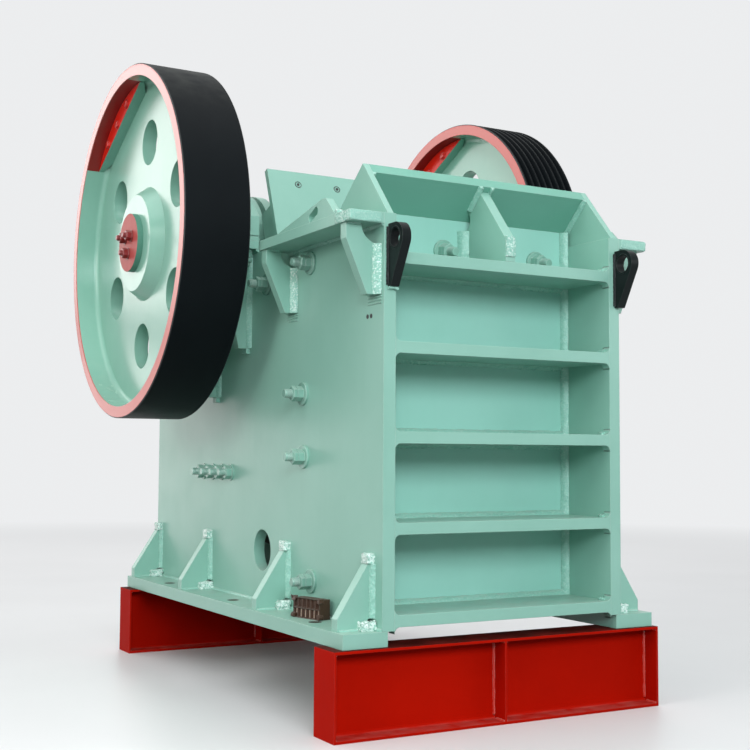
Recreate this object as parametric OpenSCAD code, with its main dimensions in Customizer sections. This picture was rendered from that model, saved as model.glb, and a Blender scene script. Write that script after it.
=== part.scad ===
// Single toggle jaw crusher for a 750 x 1060 mm feed mouth, on two steel beams.
// X runs across the machine, Y from the fixed jaw to the rear wall, Z up from the floor.
// Every piece is drawn with Z = 0 on the underside of the base plates and Y = 0 on the
// front edges of the side plates, and place() then puts the whole machine on its beams.

/* [Side plates] */
// Clear width between the two side plates
inner_w = 1100; // [1080:10:1160]
// Thickness of a side plate
side_t = 56; // [46:2:66]
// Length of the side plates and base plates, front to rear
frame_l = 2650; // [2640:10:2760]
// Height of the shoulder that carries the top flanges
shoulder_z = 1734; // [1714:2:1754]
// Height of the pointed front horns above the shoulder
horn_rise = 245; // [230:5:270]
// How far the tip of a horn stands back from the front edge
horn_back = 213; // [200:1:225]
// Length of a horn along the shoulder
horn_l = 525; // [480:5:560]
// Thickness of a horn
horn_t = 28; // [20:1:40]
// Distance from a side plate's inner face to its horn's
horn_in = 12; // [4:1:15]
// Height of the side plates' rear edge
rear_z = 1250; // [1150:10:1350]
// Radius of the round port low in each side plate
port_r = 98; // [80:1:110]
// Distance of the port behind the front edge
port_y = 1166; // [1120:2:1200]
// Height of the port's centre
port_z = 302; // [290:1:320]

/* [Base plates] */
// Thickness of a base plate
base_t = 60; // [50:1:70]
// Width of a base plate outside the side plate
base_out = 176; // [166:1:200]
// Width of a base plate under the side plate
base_under = 26; // [16:1:40]
// Diameter of the anchor bolt holes
anchor_d = 60; // [40:1:70]
// Distance of the anchor holes from the side plate
anchor_out = 100; // [90:1:110]
// Distance of the first anchor holes behind the front edge
anchor_y = 391; // [360:1:430]
// Distance from one anchor hole to the next
anchor_pitch = 883; // [860:1:900]
// Height of the base gussets
base_gusset_h = 263; // [240:1:320]
// Distance of the first gussets behind the front edge
base_gusset_end = 99; // [60:1:130]
// Distance of the inner gussets from the middle of the frame
base_gusset_mid = 475; // [450:1:500]
// Thickness of the welded gussets
gusset_t = 48; // [40:1:56]

/* [Front wall and ribs] */
// Depth of the front bays
bay_d = 320; // [300:2:330]
// Thickness of the wall behind the bays
wall_t = 50; // [44:1:60]
// Number of cross ribs
rib_n = 5; // [4:1:6]
// Thickness of a cross rib
rib_t = 48; // [40:1:56]
// Distance from one rib to the next
rib_pitch = 365; // [300:1:370]
// Radius of the fillets between the ribs and the side plates
rib_corner_r = 26; // [16:1:36]
// Height of the top face of the highest rib
rib_top_z = 1582; // [1560:1:1600]
// Height at which the wall ends under the feed lip
wall_top_z = 1803; // [1790:1:1820]
// Thickness of the feed lip
lip_t = 44; // [36:1:50]

/* [Top flanges] */
// Width of a top flange
flange_w = 156; // [146:1:166]
// Thickness of a top flange
flange_t = 45; // [40:1:50]
// Length of a top flange
flange_l = 893; // [870:1:920]
// Height of the gussets under a top flange
flange_gusset_h = 285; // [250:1:310]
// Radius of the round weld relief in those gussets
cope_r = 78; // [70:1:90]
// Thickness of an ear plate
ear_t = 34; // [26:1:40]
// Height of an ear plate
ear_h = 84; // [70:1:100]

/* [Lifting lugs] */
// Thickness of a lifting lug
lug_t = 40; // [32:1:48]
// Radius of the round nose of a lug
lug_r = 62; // [56:1:68]
// Radius of the lifting hole
lug_hole_r = 38; // [30:1:42]
// Distance of the lifting hole in front of the side plate
lug_hole_out = 54; // [50:1:60]
// Height of the lifting hole
lug_hole_z = 1626; // [1600:1:1640]
// Length of a lug below its hole
lug_tail = 192; // [170:1:200]
// How much lower the right lug sits
right_lug_drop = 14; // [0:1:20]

/* [Jaws] */
// Lean of the swing jaw from the vertical, in degrees
jaw_lean = 20.7; // [20.3:0.1:21.1]
// Distance of the swing jaw's tooth tips from the shaft
jaw_reach = 556; // [550:1:562]
// Thickness of the jaw plates, teeth and all
jaw_plate_t = 86; // [80:1:90]
// Height of the teeth
tooth_h = 36; // [28:1:42]
// Number of teeth on the fixed jaw plate
tooth_n = 10; // [8:1:12]
// Share of the tooth pitch taken by a crest
crest_share = 0.3; // [0.25:0.01:0.35]
// Height of the fixed jaw plate's lower edge
fixed_jaw_z = 130; // [120:1:150]
// Length of the fixed jaw plate
fixed_jaw_l = 1600; // [1500:5:1640]
// Height of the wedge above the fixed jaw plate
wedge_h = 78; // [70:1:82]
// Thickness of the cheek plates
cheek_t = 18; // [14:1:20]
// Thickness of the guard plate above the moving jaw plate
guard_t = 30; // [24:1:36]
// Top of the guard plate, measured up the jaw from the shaft
guard_top = 168; // [150:1:190]
// Foot of the guard plate, measured down the jaw from the shaft
guard_foot = 292; // [284:1:300]
// Gap between the guard plate and a side plate's inner face
guard_gap = 2; // [1:1:6]
// Length of the moving jaw plate
moving_jaw_l = 1663; // [1620:1:1668]

/* [Swing jaw] */
// Gap between the swing jaw and a side plate
swing_gap = 15; // [12:1:20]
// Radius of the swing jaw's barrel
barrel_r = 270; // [260:1:280]
// Radius of the collars on the barrel's ends
collar_r = 300; // [292:1:306]
// Width of a collar
collar_w = 50; // [40:1:60]
// Distance from the middle of the barrel to its ends
barrel_half = 450; // [440:1:456]
// Thickness of the swing jaw's front slab
slab_t = 78; // [66:1:90]
// Thickness of the swing jaw's ribs
swing_rib_t = 52; // [40:1:60]
// Number of the swing jaw's ribs
swing_rib_n = 4; // [3:1:5]
// Height of the solid bar across the swing jaw's foot
foot_bar_h = 330; // [300:5:360]
// How far the swing jaw's ribs stand out behind its toggle seat
swing_rib_d = 110; // [90:2:130]
// Height of the ribs' lower corners below the shaft
swing_rib_low = 1380; // [1340:5:1420]

/* [Toggle and tension rods] */
// Radius of the toggle plate's rounded ends
toggle_r = 36; // [32:1:40]
// Distance from a side plate to the toggle plate
toggle_side = 120; // [100:5:160]
// Height of the toggle seat at the swing jaw
toggle_z0 = 262; // [255:1:270]
// Height of the toggle seat at the rear block
toggle_z1 = 420; // [400:2:440]
// Depth of the toggle block in front of the rear wall
block_d = 230; // [210:2:250]
// Height of the toggle block
block_h = 240; // [220:2:260]
// Radius of a tension rod
rod_r = 25; // [20:1:30]
// Distance of a tension rod from the middle of the machine
rod_x = 300; // [260:5:340]
// Height of the tension rods
rod_z = 155; // [145:1:165]
// Outer radius of a tension spring
spring_r = 62; // [55:1:70]
// Radius of the spring wire
wire_r = 11; // [8:1:13]
// Radius of the eye that pins a tension rod to the swing jaw
rod_eye_r = 48; // [42:1:54]
// Radius of that pin
rod_pin_r = 20; // [16:1:24]

/* [Rear wall] */
// Thickness of the rear wall
rear_t = 50; // [40:1:60]
// Depth of the rear ribs
rear_rib_d = 170; // [150:2:190]
// Distance from one rear rib to the next
rear_rib_pitch = 330; // [300:1:340]

/* [Shaft and bearings] */
// Distance of the main shaft behind the front edge
shaft_y = 1749; // [1740:1:1758]
// Height of the main shaft
shaft_z = 1824; // [1816:1:1834]
// Radius of the shaft in the bearings
journal_r = 130; // [120:1:140]
// Radius of the shaft in the wheels
wheel_seat_r = 115; // [105:1:119]
// Radius of the eccentric part inside the swing jaw
eccentric_r = 160; // [150:1:170]
// Throw of the eccentric part
throw = 17; // [12:1:20]
// Radius of a bearing housing where it sits in the side plate
housing_r = 300; // [290:1:310]
// Half the length of a bearing housing's foot
housing_half = 506; // [480:2:530]
// Height of the bearing housings' seat
seat_z = 1801; // [1790:1:1810]
// How far a bearing housing reaches inside the side plate
housing_in = 70; // [60:1:76]
// Width of a saddle and a bearing housing outside the side plate
saddle_w = 156; // [146:1:166]
// Thickness of a saddle
saddle_t = 40; // [34:1:48]
// Height of the outer gussets under a saddle
saddle_gusset_h = 482; // [440:2:520]
// Height of the gusset under the middle of a saddle
saddle_gusset_mid_h = 472; // [430:2:500]
// Height of a bearing cap above the shaft
cap_h = 286; // [270:1:300]
// Radius of a bearing cover
cover_r = 232; // [220:1:240]
// Thickness of a bearing cover
cover_t = 26; // [20:1:32]

/* [Wheels] */
// Gap between a bearing cover and a wheel's inner face
wheel_gap = 28; // [20:1:40]
// Width of the flywheel
fly_w = 320; // [300:1:340]
// Radius of the flywheel
fly_r = 889; // [860:1:900]
// Width of the drive pulley
pulley_w = 310; // [300:1:320]
// Radius of the drive pulley
pulley_r = 847; // [820:1:870]
// Thickness of the rims at their faces
rim_t = 58; // [50:1:64]
// Width of the chamfers on the rims' outer edges
rim_edge = 4; // [2:0.5:6]
// Thickness of the wheels' webs
web_t = 73; // [60:1:80]
// Radius of the round holes in the webs
web_hole_r = 115; // [100:1:125]
// Distance of those holes from the shaft in the flywheel
web_hole_at = 520; // [500:1:530]
// Distance of those holes from the shaft in the pulley
pulley_hole_at = 486; // [470:1:500]
// Number of those holes
web_hole_n = 6; // [4:1:8]
// Radius of a hub where it meets the web
hub_r = 290; // [280:1:300]
// Radius of a hub at its face
hub_face_r = 244; // [236:1:252]
// How far a hub stands out of the web
hub_out = 62; // [50:1:70]
// Depth of a counterweight from the rim to its flat side
weight_deep = 93; // [80:1:110]
// How far a counterweight stands out of the web
weight_out = 54; // [44:1:60]
// Direction of the counterweights above the rearward level, in degrees
weight_angle = 64.5; // [50:0.5:80]
// Number of V belt grooves
groove_n = 7; // [5:1:7]
// Distance from one groove to the next
groove_pitch = 42; // [38:0.5:43]
// Depth of a groove
groove_d = 26; // [20:1:28]
// Radius of the shaft's end caps
cap_r = 147; // [140:1:155]
// Thickness of the flywheel's end cap
cap_t = 30; // [24:1:34]

/* [Beams] */
// Height of a beam
beam_h = 350; // [300:5:400]
// Width of a beam
beam_w = 175; // [150:1:200]
// Half the length of a beam
beam_half = 813; // [800:1:840]
// How far the beams are set toward the flywheel's side
beam_shift = 17; // [0:1:24]
// Thickness of a beam's flanges
beam_flange_t = 12; // [10:1:16]
// Thickness of a beam's web and plates
beam_web_t = 9; // [7:1:12]
// Radius of the fillets between a beam's web and flanges
beam_root_r = 14; // [10:1:18]
// Distance of the middle stiffeners from the beams' middle
beam_mid_off = 12; // [0:1:30]
// How far the front beam stands in front of the base plates
beam_front = 25; // [0:1:40]
// Distance from the rear beam's rear face to the frame's rear edge
beam_rear = 22; // [0:1:40]

/* [Hidden] */
$fn = 96;
// Gap left at round seats and between loose pieces
seat_gap = 0.3;
// Running gap beside moving pieces
run_gap = 6;
side_out = inner_w / 2 + side_t;
base_edge = side_out + base_out;
horn_z = shoulder_z + horn_rise;
horn_w = inner_w + 2 * horn_in;
seat_y0 = shaft_y - housing_half;
seat_y1 = shaft_y + housing_half;
lip_drop = 41;
lip_y0 = horn_back * (horn_rise - lip_drop) / horn_rise;
wall_z0 = rib_top_z - (rib_n - 1) * rib_pitch - rib_t;
jaw_y = bay_d + wall_t;
lug_front = lug_hole_out + lug_r;
rod_rear = frame_l + 86;
mid_y = (rod_rear - lug_front) / 2;
swing_w = inner_w - 2 * swing_gap;
toggle_w = inner_w - 2 * toggle_side;
wheel_in = side_out + saddle_w + cover_t + wheel_gap;
fly_mid = wheel_in + fly_w / 2;
fly_out = wheel_in + fly_w;
pulley_mid = wheel_in + pulley_w / 2;
toggle_y0 = 915;
fixed_jaw_w = inner_w - 2 * cheek_t - 4;
tooth_pitch = fixed_jaw_w / tooth_n;
moving_jaw_w = fixed_jaw_w - 16;
jaw_foot = -guard_foot - 4 - moving_jaw_l;
seat_off = (toggle_y0 - shaft_y) * cos(jaw_lean) - (toggle_z0 - shaft_z) * sin(jaw_lean);
rod_eye_y = 942;
eye_t = 60;
rod_lug_t = 30;
rear_y = frame_l - rear_rib_d - rear_t;
toggle_y1 = rear_y - block_d;
toggle_l = norm([toggle_y1 - toggle_y0, toggle_z1 - toggle_z0]);
toggle_tilt = atan2(toggle_z1 - toggle_z0, toggle_y1 - toggle_y0);
rear_z0 = 80;
rear_top = rear_z - 20;

mint = [0.53, 0.76, 0.66];
beam_red = [0.70, 0.10, 0.07];
black_paint = [0.06, 0.06, 0.07];
cast_grey = [0.35, 0.36, 0.36];

// Moves a piece from the frame's own datum to the machine's place on its beams.
module place() {
    translate([0, -mid_y, beam_h]) children();
}

// Draws a right-hand piece, or its left-hand mirror image.
module side(left) {
    mirror([left ? 1 : 0, 0, 0]) children();
}

// Gives an outline in Y and Z a thickness along X, from x0 on.
module slab_x(x0, t) {
    translate([x0, 0, 0]) rotate([90, 0, 90]) linear_extrude(t) children();
}

// Gives an outline in X and Z a thickness along Y, from y0 on.
module slab_y(y0, t) {
    translate([0, y0 + t, 0]) rotate([90, 0, 0]) linear_extrude(t) children();
}

// A round bar along X.
module bar_x(r, x0, x1) {
    translate([x0, 0, 0]) rotate([0, 90, 0]) cylinder(r = r, h = x1 - x0);
}

// Puts a piece on the shaft's axis.
module at_shaft() {
    translate([0, shaft_y, shaft_z]) children();
}

// The swing jaw's own axes: on the shaft, with Z up along the leaning jaw face.
module at_jaw() {
    at_shaft() rotate([-jaw_lean, 0, 0]) children();
}

// Side plates
module side_outline() {
    polygon([[0, base_t], [0, shoulder_z], [seat_y0 - 60, shoulder_z], [seat_y0, seat_z],
        [seat_y1, seat_z], [frame_l, rear_z], [frame_l, base_t]]);
}

module horn_outline() {
    polygon([[0, shoulder_z], [horn_back, horn_z], [horn_l, shoulder_z],
        [horn_l, shoulder_z - 10], [0, shoulder_z - 10]]);
}

module side_plate() {
    difference() {
        union() {
            slab_x(inner_w / 2, side_t) side_outline();
            slab_x(horn_w / 2, horn_t) horn_outline();
        }
        at_shaft() bar_x(housing_r + seat_gap, inner_w / 2 - 1, side_out + 1);
        translate([0, port_y, port_z]) bar_x(port_r, inner_w / 2 - 1, side_out + 1);
    }
}

module left_side_plate() { color(mint) place() side(true) side_plate(); }
module right_side_plate() { color(mint) place() side(false) side_plate(); }

// Front wall, cross ribs, centre gusset and feed lip
module front_wall() {
    color(mint) place() slab_y(bay_d, wall_t)
        polygon([[-inner_w / 2, wall_z0], [inner_w / 2, wall_z0], [inner_w / 2, shoulder_z],
            [horn_w / 2, shoulder_z], [horn_w / 2, wall_top_z], [-horn_w / 2, wall_top_z],
            [-horn_w / 2, shoulder_z], [-inner_w / 2, shoulder_z]]);
}

// A rib's front edge spreads into ground weld fillets where it meets the side plates.
module rib_section() {
    w = inner_w / 2;
    r = rib_corner_r;
    difference() {
        polygon([[-w, -r], [-w, rib_t + r], [-w + r, rib_t + r], [-w + r, rib_t],
            [w - r, rib_t], [w - r, rib_t + r], [w, rib_t + r], [w, -r],
            [w - r, -r], [w - r, 0], [-w + r, 0], [-w + r, -r]]);
        for (x = [-w + r, w - r], z = [-r, rib_t + r]) translate([x, z]) circle(r = r);
    }
}

module front_ribs() {
    front = 45;
    color(mint) place() for (i = [0 : rib_n - 1])
        translate([0, 0, rib_top_z - rib_t - i * rib_pitch]) {
            slab_y(0, front) rib_section();
            slab_y(front, bay_d - front) translate([-inner_w / 2, 0]) square([inner_w, rib_t]);
        }
}

module front_centre_gusset() {
    relief_r = 46;
    shift = 13;
    low = 54;
    on_lip = 0.15;
    lip_edge = [lip_y0, horn_z - lip_drop];
    corner = [bay_d, wall_top_z];
    color(mint) place() slab_x(shift - gusset_t / 2, gusset_t) difference() {
        polygon([[0, rib_top_z], [0, shoulder_z - low], lip_edge + on_lip * (corner - lip_edge),
            corner, [bay_d, rib_top_z]]);
        translate([bay_d, wall_top_z]) circle(r = relief_r);
    }
}

module feed_lip() {
    color(mint) place() slab_x(-horn_w / 2, horn_w)
        polygon([[horn_back, horn_z], [lip_y0, horn_z - lip_drop], [bay_d, wall_top_z],
            [jaw_y, wall_top_z], [horn_back + lip_t * 1.3, horn_z]]);
}

// Base plates and their gussets
module base_plate() {
    difference() {
        translate([side_out - base_under, 0, 0])
            cube([base_out + base_under, frame_l, base_t]);
        for (i = [0 : 2])
            translate([side_out + anchor_out, anchor_y + i * anchor_pitch, -1])
                cylinder(d = anchor_d, h = base_t + 2);
    }
}

module base_gussets() {
    nose = 49;
    set_back = 14;
    tip = 25;
    middle = frame_l / 2 + 37;
    rear = frame_l - 50;
    for (y = [base_gusset_end, middle - base_gusset_mid, middle + base_gusset_mid, rear])
        slab_y(y - gusset_t / 2, gusset_t) difference() {
            polygon([[side_out, base_t], [base_edge - set_back, base_t],
                [base_edge - set_back, base_t + nose], [side_out + tip, base_t + base_gusset_h],
                [side_out, base_t + base_gusset_h]]);
            translate([side_out, base_t]) circle(r = nose);
        }
}

module left_base_plate() { color(mint) place() side(true) base_plate(); }
module right_base_plate() { color(mint) place() side(false) base_plate(); }
module left_base_gussets() { color(mint) place() side(true) base_gussets(); }
module right_base_gussets() { color(mint) place() side(false) base_gussets(); }

// Top flanges with their gussets and ear plates
module top_flange() {
    corner = 8;
    translate([0, 0, shoulder_z - flange_t]) linear_extrude(flange_t)
        polygon([[side_out, 0], [side_out + flange_w - corner, 0],
            [side_out + flange_w, corner], [side_out + flange_w, flange_l],
            [side_out, flange_l]]);
}

module flange_gussets() {
    nose = 64;
    set_back = 8;
    tip = 52;
    top = shoulder_z - flange_t;
    for (y = [48, flange_l - gusset_t - 20])
        slab_y(y, gusset_t) difference() {
            polygon([[side_out, top], [side_out + flange_w - set_back, top],
                [side_out + flange_w - set_back, top - nose],
                [side_out + tip, top - flange_gusset_h], [side_out, top - flange_gusset_h]]);
            translate([side_out, top]) circle(r = cope_r);
        }
}

module ear_plate() {
    foot0 = 138;
    foot1 = 715;
    slot_r = 18;
    slot_l = 56;
    slot_tilt = -24;
    slab_x(side_out + flange_w - ear_t - 4, ear_t) difference() {
        polygon([[foot0, shoulder_z], [foot0 + 84, shoulder_z + ear_h - 4],
            [foot0 + 116, shoulder_z + ear_h], [foot1, shoulder_z]]);
        translate([foot0 + 176, shoulder_z + ear_h / 2]) rotate(slot_tilt) union() {
            circle(r = slot_r);
            translate([slot_l, 0]) circle(r = slot_r);
            translate([0, -slot_r]) square([slot_l, 2 * slot_r]);
        }
    }
}

module left_top_flange() { color(mint) place() side(true) top_flange(); }
module right_top_flange() { color(mint) place() side(false) top_flange(); }
module left_flange_gussets() { color(mint) place() side(true) flange_gussets(); }
module right_flange_gussets() { color(mint) place() side(false) flange_gussets(); }
module left_ear_plate() { color(mint) place() side(true) ear_plate(); }
module right_ear_plate() { color(mint) place() side(false) ear_plate(); }

// Lifting lugs, welded to the front edges of the side plates
module lifting_lug(x0, drop) {
    foot = 22;
    reach = norm([lug_hole_out - foot, lug_tail]);
    slant = atan2(lug_hole_out - foot, lug_tail) + asin(lug_r / reach);
    run = sqrt(reach * reach - lug_r * lug_r);
    translate([0, 0, -drop]) slab_x(x0, lug_t) difference() {
        union() {
            translate([-lug_hole_out, lug_hole_z]) circle(r = lug_r);
            polygon([[0, lug_hole_z + lug_r], [-lug_hole_out, lug_hole_z + lug_r],
                [-lug_hole_out, lug_hole_z],
                [-foot - run * sin(slant), lug_hole_z - lug_tail + run * cos(slant)],
                [-foot, lug_hole_z - lug_tail], [0, lug_hole_z - lug_tail]]);
        }
        translate([-lug_hole_out, lug_hole_z]) circle(r = lug_hole_r);
        translate([0, lug_hole_z - lug_r]) square([lug_r, 2 * lug_r]);
    }
}

module left_lifting_lug() { color(black_paint) place() lifting_lug(-side_out + 18, 0); }
module right_lifting_lug() {
    color(black_paint) place() lifting_lug(side_out - lug_t + 16, right_lug_drop);
}

// Rear wall with its ribs
module rear_wall() {
    color(mint) place() difference() {
        translate([-inner_w / 2, rear_y, rear_z0])
            cube([inner_w, rear_t, rear_top - rear_z0]);
        for (s = [-1, 1])
            translate([s * rod_x, rear_y - 1, rod_z]) rotate([-90, 0, 0])
                cylinder(r = rod_r + seat_gap, h = rear_t + 2);
    }
}

module rear_ribs() {
    color(mint) place()
        for (i = [0 : 2])
            translate([-inner_w / 2, rear_y + rear_t, rear_top - rib_t - i * rear_rib_pitch])
                cube([inner_w, rear_rib_d, rib_t]);
}

// Bearing saddles with their gussets
module bearing_saddle() {
    slab_x(side_out, saddle_w) difference() {
        union() {
            intersection() {
                translate([shaft_y, shaft_z]) circle(r = housing_r + saddle_t);
                translate([seat_y0, 0]) square([2 * housing_half, seat_z]);
            }
            translate([seat_y0, seat_z - saddle_t]) square([2 * housing_half, saddle_t]);
        }
        translate([shaft_y, shaft_z]) circle(r = housing_r + seat_gap);
    }
}

module saddle_gusset(y, top, h) {
    tip = 62;
    slab_y(y - gusset_t / 2, gusset_t)
        polygon([[side_out, top], [side_out + saddle_w - 8, top],
            [side_out + saddle_w - 8, top - 70], [side_out + tip, top - h], [side_out, top - h]]);
}

module saddle_gussets() {
    out_y = 386;
    for (s = [-1, 1]) saddle_gusset(shaft_y + s * out_y, seat_z - saddle_t, saddle_gusset_h);
    difference() {
        saddle_gusset(shaft_y, shaft_z - housing_r, saddle_gusset_mid_h);
        at_shaft() bar_x(housing_r + saddle_t, side_out - 1, side_out + saddle_w + 1);
    }
}

module left_bearing_saddle() { color(mint) place() side(true) bearing_saddle(); }
module right_bearing_saddle() { color(mint) place() side(false) bearing_saddle(); }
module left_saddle_gussets() { color(mint) place() side(true) saddle_gussets(); }
module right_saddle_gussets() { color(mint) place() side(false) saddle_gussets(); }

// Bearing housings: a round body in the side plate, a cap above and a stepped cover outside
module bearing_housing() {
    cut = 186;
    joint = 6;
    step_r = cover_r - 60;
    step_t = 14;
    out = side_out + saddle_w;
    difference() {
        union() {
            at_shaft() bar_x(housing_r, inner_w / 2 - housing_in, side_out);
            slab_x(side_out, saddle_w) union() {
                intersection() {
                    translate([shaft_y, shaft_z]) circle(r = housing_r);
                    translate([seat_y0, shaft_z - housing_r - 1])
                        square([2 * housing_half, housing_r + 1 + cap_h]);
                }
                polygon([[seat_y0, seat_z], [seat_y0, shaft_z + cap_h - cut],
                    [seat_y0 + cut, shaft_z + cap_h], [seat_y1 - cut, shaft_z + cap_h],
                    [seat_y1, shaft_z + cap_h - cut], [seat_y1, seat_z]]);
            }
            at_shaft() bar_x(cover_r, out, out + cover_t);
            at_shaft() bar_x(step_r, out, out + cover_t + step_t);
        }
        at_shaft() bar_x(journal_r + seat_gap, inner_w / 2 - housing_in - 1, wheel_in);
        for (y = [seat_y0 - 1, seat_y1 - joint])
            translate([side_out - 1, y, shaft_z - joint / 2])
                cube([saddle_w + 2, joint + 1, joint]);
    }
}

module left_bearing_housing() { color(mint) place() side(true) bearing_housing(); }
module right_bearing_housing() { color(mint) place() side(false) bearing_housing(); }

// Jaw plates: toothed manganese castings, crest facing root across the chamber
module toothed_plate(w, l, n) {
    flank_share = 0.2;
    root_share = (1 - crest_share - 2 * flank_share) / 2;
    root_t = jaw_plate_t - tooth_h;
    tooth = [[root_share, root_t], [root_share + flank_share, jaw_plate_t],
        [root_share + flank_share + crest_share, jaw_plate_t],
        [root_share + 2 * flank_share + crest_share, root_t]];
    linear_extrude(l)
        polygon(concat([[w / 2, root_t], [w / 2, 0], [-w / 2, 0], [-w / 2, root_t]],
            [for (i = [0 : n - 1], p = tooth) [(i - n / 2 + p[0]) * tooth_pitch, p[1]]]));
}

module fixed_jaw_plate() {
    color(cast_grey) place() translate([0, jaw_y, fixed_jaw_z])
        toothed_plate(fixed_jaw_w, fixed_jaw_l, tooth_n);
}

module moving_jaw_plate() {
    color(cast_grey) place() at_jaw() translate([0, jaw_plate_t - jaw_reach, jaw_foot])
        mirror([0, 1, 0]) toothed_plate(moving_jaw_w, moving_jaw_l, tooth_n - 1);
}

// The wedge that holds the fixed jaw plate down from above
module fixed_jaw_wedge() {
    foot = fixed_jaw_z + fixed_jaw_l;
    color(cast_grey) place() slab_x(-fixed_jaw_w / 2, fixed_jaw_w)
        polygon([[jaw_y, foot], [jaw_y, foot + wedge_h], [jaw_y + 34, foot + wedge_h],
            [jaw_y + jaw_plate_t - tooth_h, foot + 24], [jaw_y + jaw_plate_t - tooth_h, foot]]);
}

module jaw_guard_plate() {
    w = inner_w - 2 * guard_gap;
    color(mint) place() at_jaw()
        translate([-w / 2, -jaw_reach, -guard_foot]) cube([w, guard_t, guard_top + guard_foot]);
}

module cheek_plates() {
    top = fixed_jaw_z + fixed_jaw_l;
    foot_l = 120;
    color(cast_grey) place()
        for (s = [0, 1]) mirror([s, 0, 0]) slab_x(inner_w / 2 - cheek_t, cheek_t)
            polygon([[jaw_y, fixed_jaw_z], [jaw_y, top],
                [jaw_y + foot_l + (top - fixed_jaw_z) * tan(jaw_lean), top],
                [jaw_y + foot_l, fixed_jaw_z]]);
}

// Swing jaw: a ribbed casting hung on the eccentric part of the shaft
module jaw_cross(y0, y1, z0, z1, w = swing_w) {
    at_jaw() translate([-w / 2, y0, z0]) cube([w, y1 - y0, z1 - z0]);
}

module swing_jaw() {
    face = -jaw_reach + jaw_plate_t;
    top = guard_top - 20;
    shoulder = -9;
    rib_top = 60;
    ribs_w = 2 * (barrel_half - collar_w) - 20;
    step = (ribs_w - swing_rib_t) / (swing_rib_n - 1);
    color(mint) place() difference() {
        union() {
            jaw_cross(face, face + slab_t, jaw_foot, shoulder);
            jaw_cross(-jaw_reach + guard_t, face, -guard_foot, shoulder);
            jaw_cross(-jaw_reach + guard_t, face + slab_t, shoulder - 40, top,
                2 * barrel_half - 60);
            jaw_cross(face, seat_off, jaw_foot, jaw_foot + foot_bar_h);
            at_shaft() bar_x(barrel_r, -barrel_half, barrel_half);
            for (s = [-1, 1])
                at_shaft() bar_x(collar_r, s * (barrel_half - collar_w / 2) - collar_w / 2,
                    s * (barrel_half - collar_w / 2) + collar_w / 2);
            for (i = [0 : swing_rib_n - 1])
                at_jaw() slab_x(-ribs_w / 2 + i * step, swing_rib_t)
                    polygon([[face, rib_top], [-barrel_r * 0.74, barrel_r * 0.55],
                        [barrel_r * 0.8, -barrel_r * 0.45], [seat_off + swing_rib_d, -swing_rib_low],
                        [seat_off, jaw_foot + foot_bar_h], [face, jaw_foot + foot_bar_h]]);
            for (s = [-1, 1], t = [-1, 1])
                slab_x(s * rod_x + t * (eye_t + rod_lug_t) / 2 - rod_lug_t / 2 + t, rod_lug_t)
                    translate([rod_eye_y, rod_z]) union() {
                        circle(r = rod_eye_r);
                        translate([-120, -rod_eye_r]) square([120, 2 * rod_eye_r]);
                    }
        }
        at_shaft() bar_x(eccentric_r + throw + run_gap, -swing_w / 2 - 1, swing_w / 2 + 1);
        translate([0, toggle_y0, toggle_z0])
            bar_x(toggle_r + seat_gap, -swing_w / 2 - 1, swing_w / 2 + 1);
        for (s = [-1, 1]) translate([s * rod_x, rod_eye_y, rod_z])
            bar_x(rod_pin_r + seat_gap, -eye_t * 2, eye_t * 2);
    }
}

// Toggle plate between the swing jaw and the rear block
module toggle_plate() {
    color(cast_grey) place() slab_x(-toggle_w / 2, toggle_w)
        translate([toggle_y0, toggle_z0]) rotate(toggle_tilt) union() {
            circle(r = toggle_r);
            translate([toggle_l, 0]) circle(r = toggle_r);
            translate([0, -toggle_r * 0.7]) square([toggle_l, toggle_r * 1.4]);
        }
}

module toggle_block() {
    color(mint) place() difference() {
        translate([-inner_w / 2, toggle_y1, toggle_z1 - block_h / 2])
            cube([inner_w, block_d, block_h]);
        translate([0, toggle_y1, toggle_z1])
            bar_x(toggle_r + seat_gap, -inner_w / 2 - 1, inner_w / 2 + 1);
    }
}

// Tension rods, pinned to the swing jaw's foot, with their nuts behind the rear wall
module tension_rods() {
    nut_t = 40;
    color(cast_grey) place()
        for (s = [-1, 1]) translate([s * rod_x, 0, rod_z]) {
            translate([0, rod_eye_y, 0]) bar_x(rod_eye_r, -eye_t / 2, eye_t / 2);
            translate([0, rod_eye_y, 0])
                bar_x(rod_pin_r, -eye_t / 2 - rod_lug_t - 8, eye_t / 2 + rod_lug_t + 8);
            rotate([-90, 0, 0]) {
                translate([0, 0, rod_eye_y]) cylinder(r = rod_r, h = rod_rear - rod_eye_y);
                translate([0, 0, rod_rear - nut_t - 24]) cylinder(r = spring_r, h = 16);
                translate([0, 0, rod_rear - nut_t - 8])
                    cylinder(r = rod_r * 1.7, h = nut_t, $fn = 6);
            }
        }
}

function ring_points(centre, out, up, r, n) =
    [for (j = [0 : n - 1]) centre + r * (cos(360 * j / n) * out + sin(360 * j / n) * up)];

module coil_spring(r, wire, l, turns) {
    steps = 14;
    sides = 8;
    n = turns * steps;
    rings = [for (i = [0 : n]) let (a = 360 * i / steps)
        ring_points([r * cos(a), r * sin(a), wire + (l - 2 * wire) * i / n],
            [cos(a), sin(a), 0], [0, 0, 1], wire, sides)];
    points = [for (ring = rings) for (p = ring) p];
    sleeve = [for (i = [0 : n - 1], j = [0 : sides - 1])
        [i * sides + j, i * sides + (j + 1) % sides, (i + 1) * sides + (j + 1) % sides,
         (i + 1) * sides + j]];
    first = [for (j = [0 : sides - 1]) sides - 1 - j];
    last = [for (j = [0 : sides - 1]) n * sides + j];
    polyhedron(points, concat(sleeve, [first, last]));
}

module tension_springs() {
    y0 = rear_y + rear_t;
    y1 = rod_rear - 64;
    color(beam_red) place()
        for (s = [-1, 1])
            translate([s * rod_x, y0 + seat_gap, rod_z]) rotate([-90, 0, 0])
                coil_spring(spring_r - wire_r, wire_r, y1 - y0 - 2 * seat_gap, 6);
}

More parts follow.
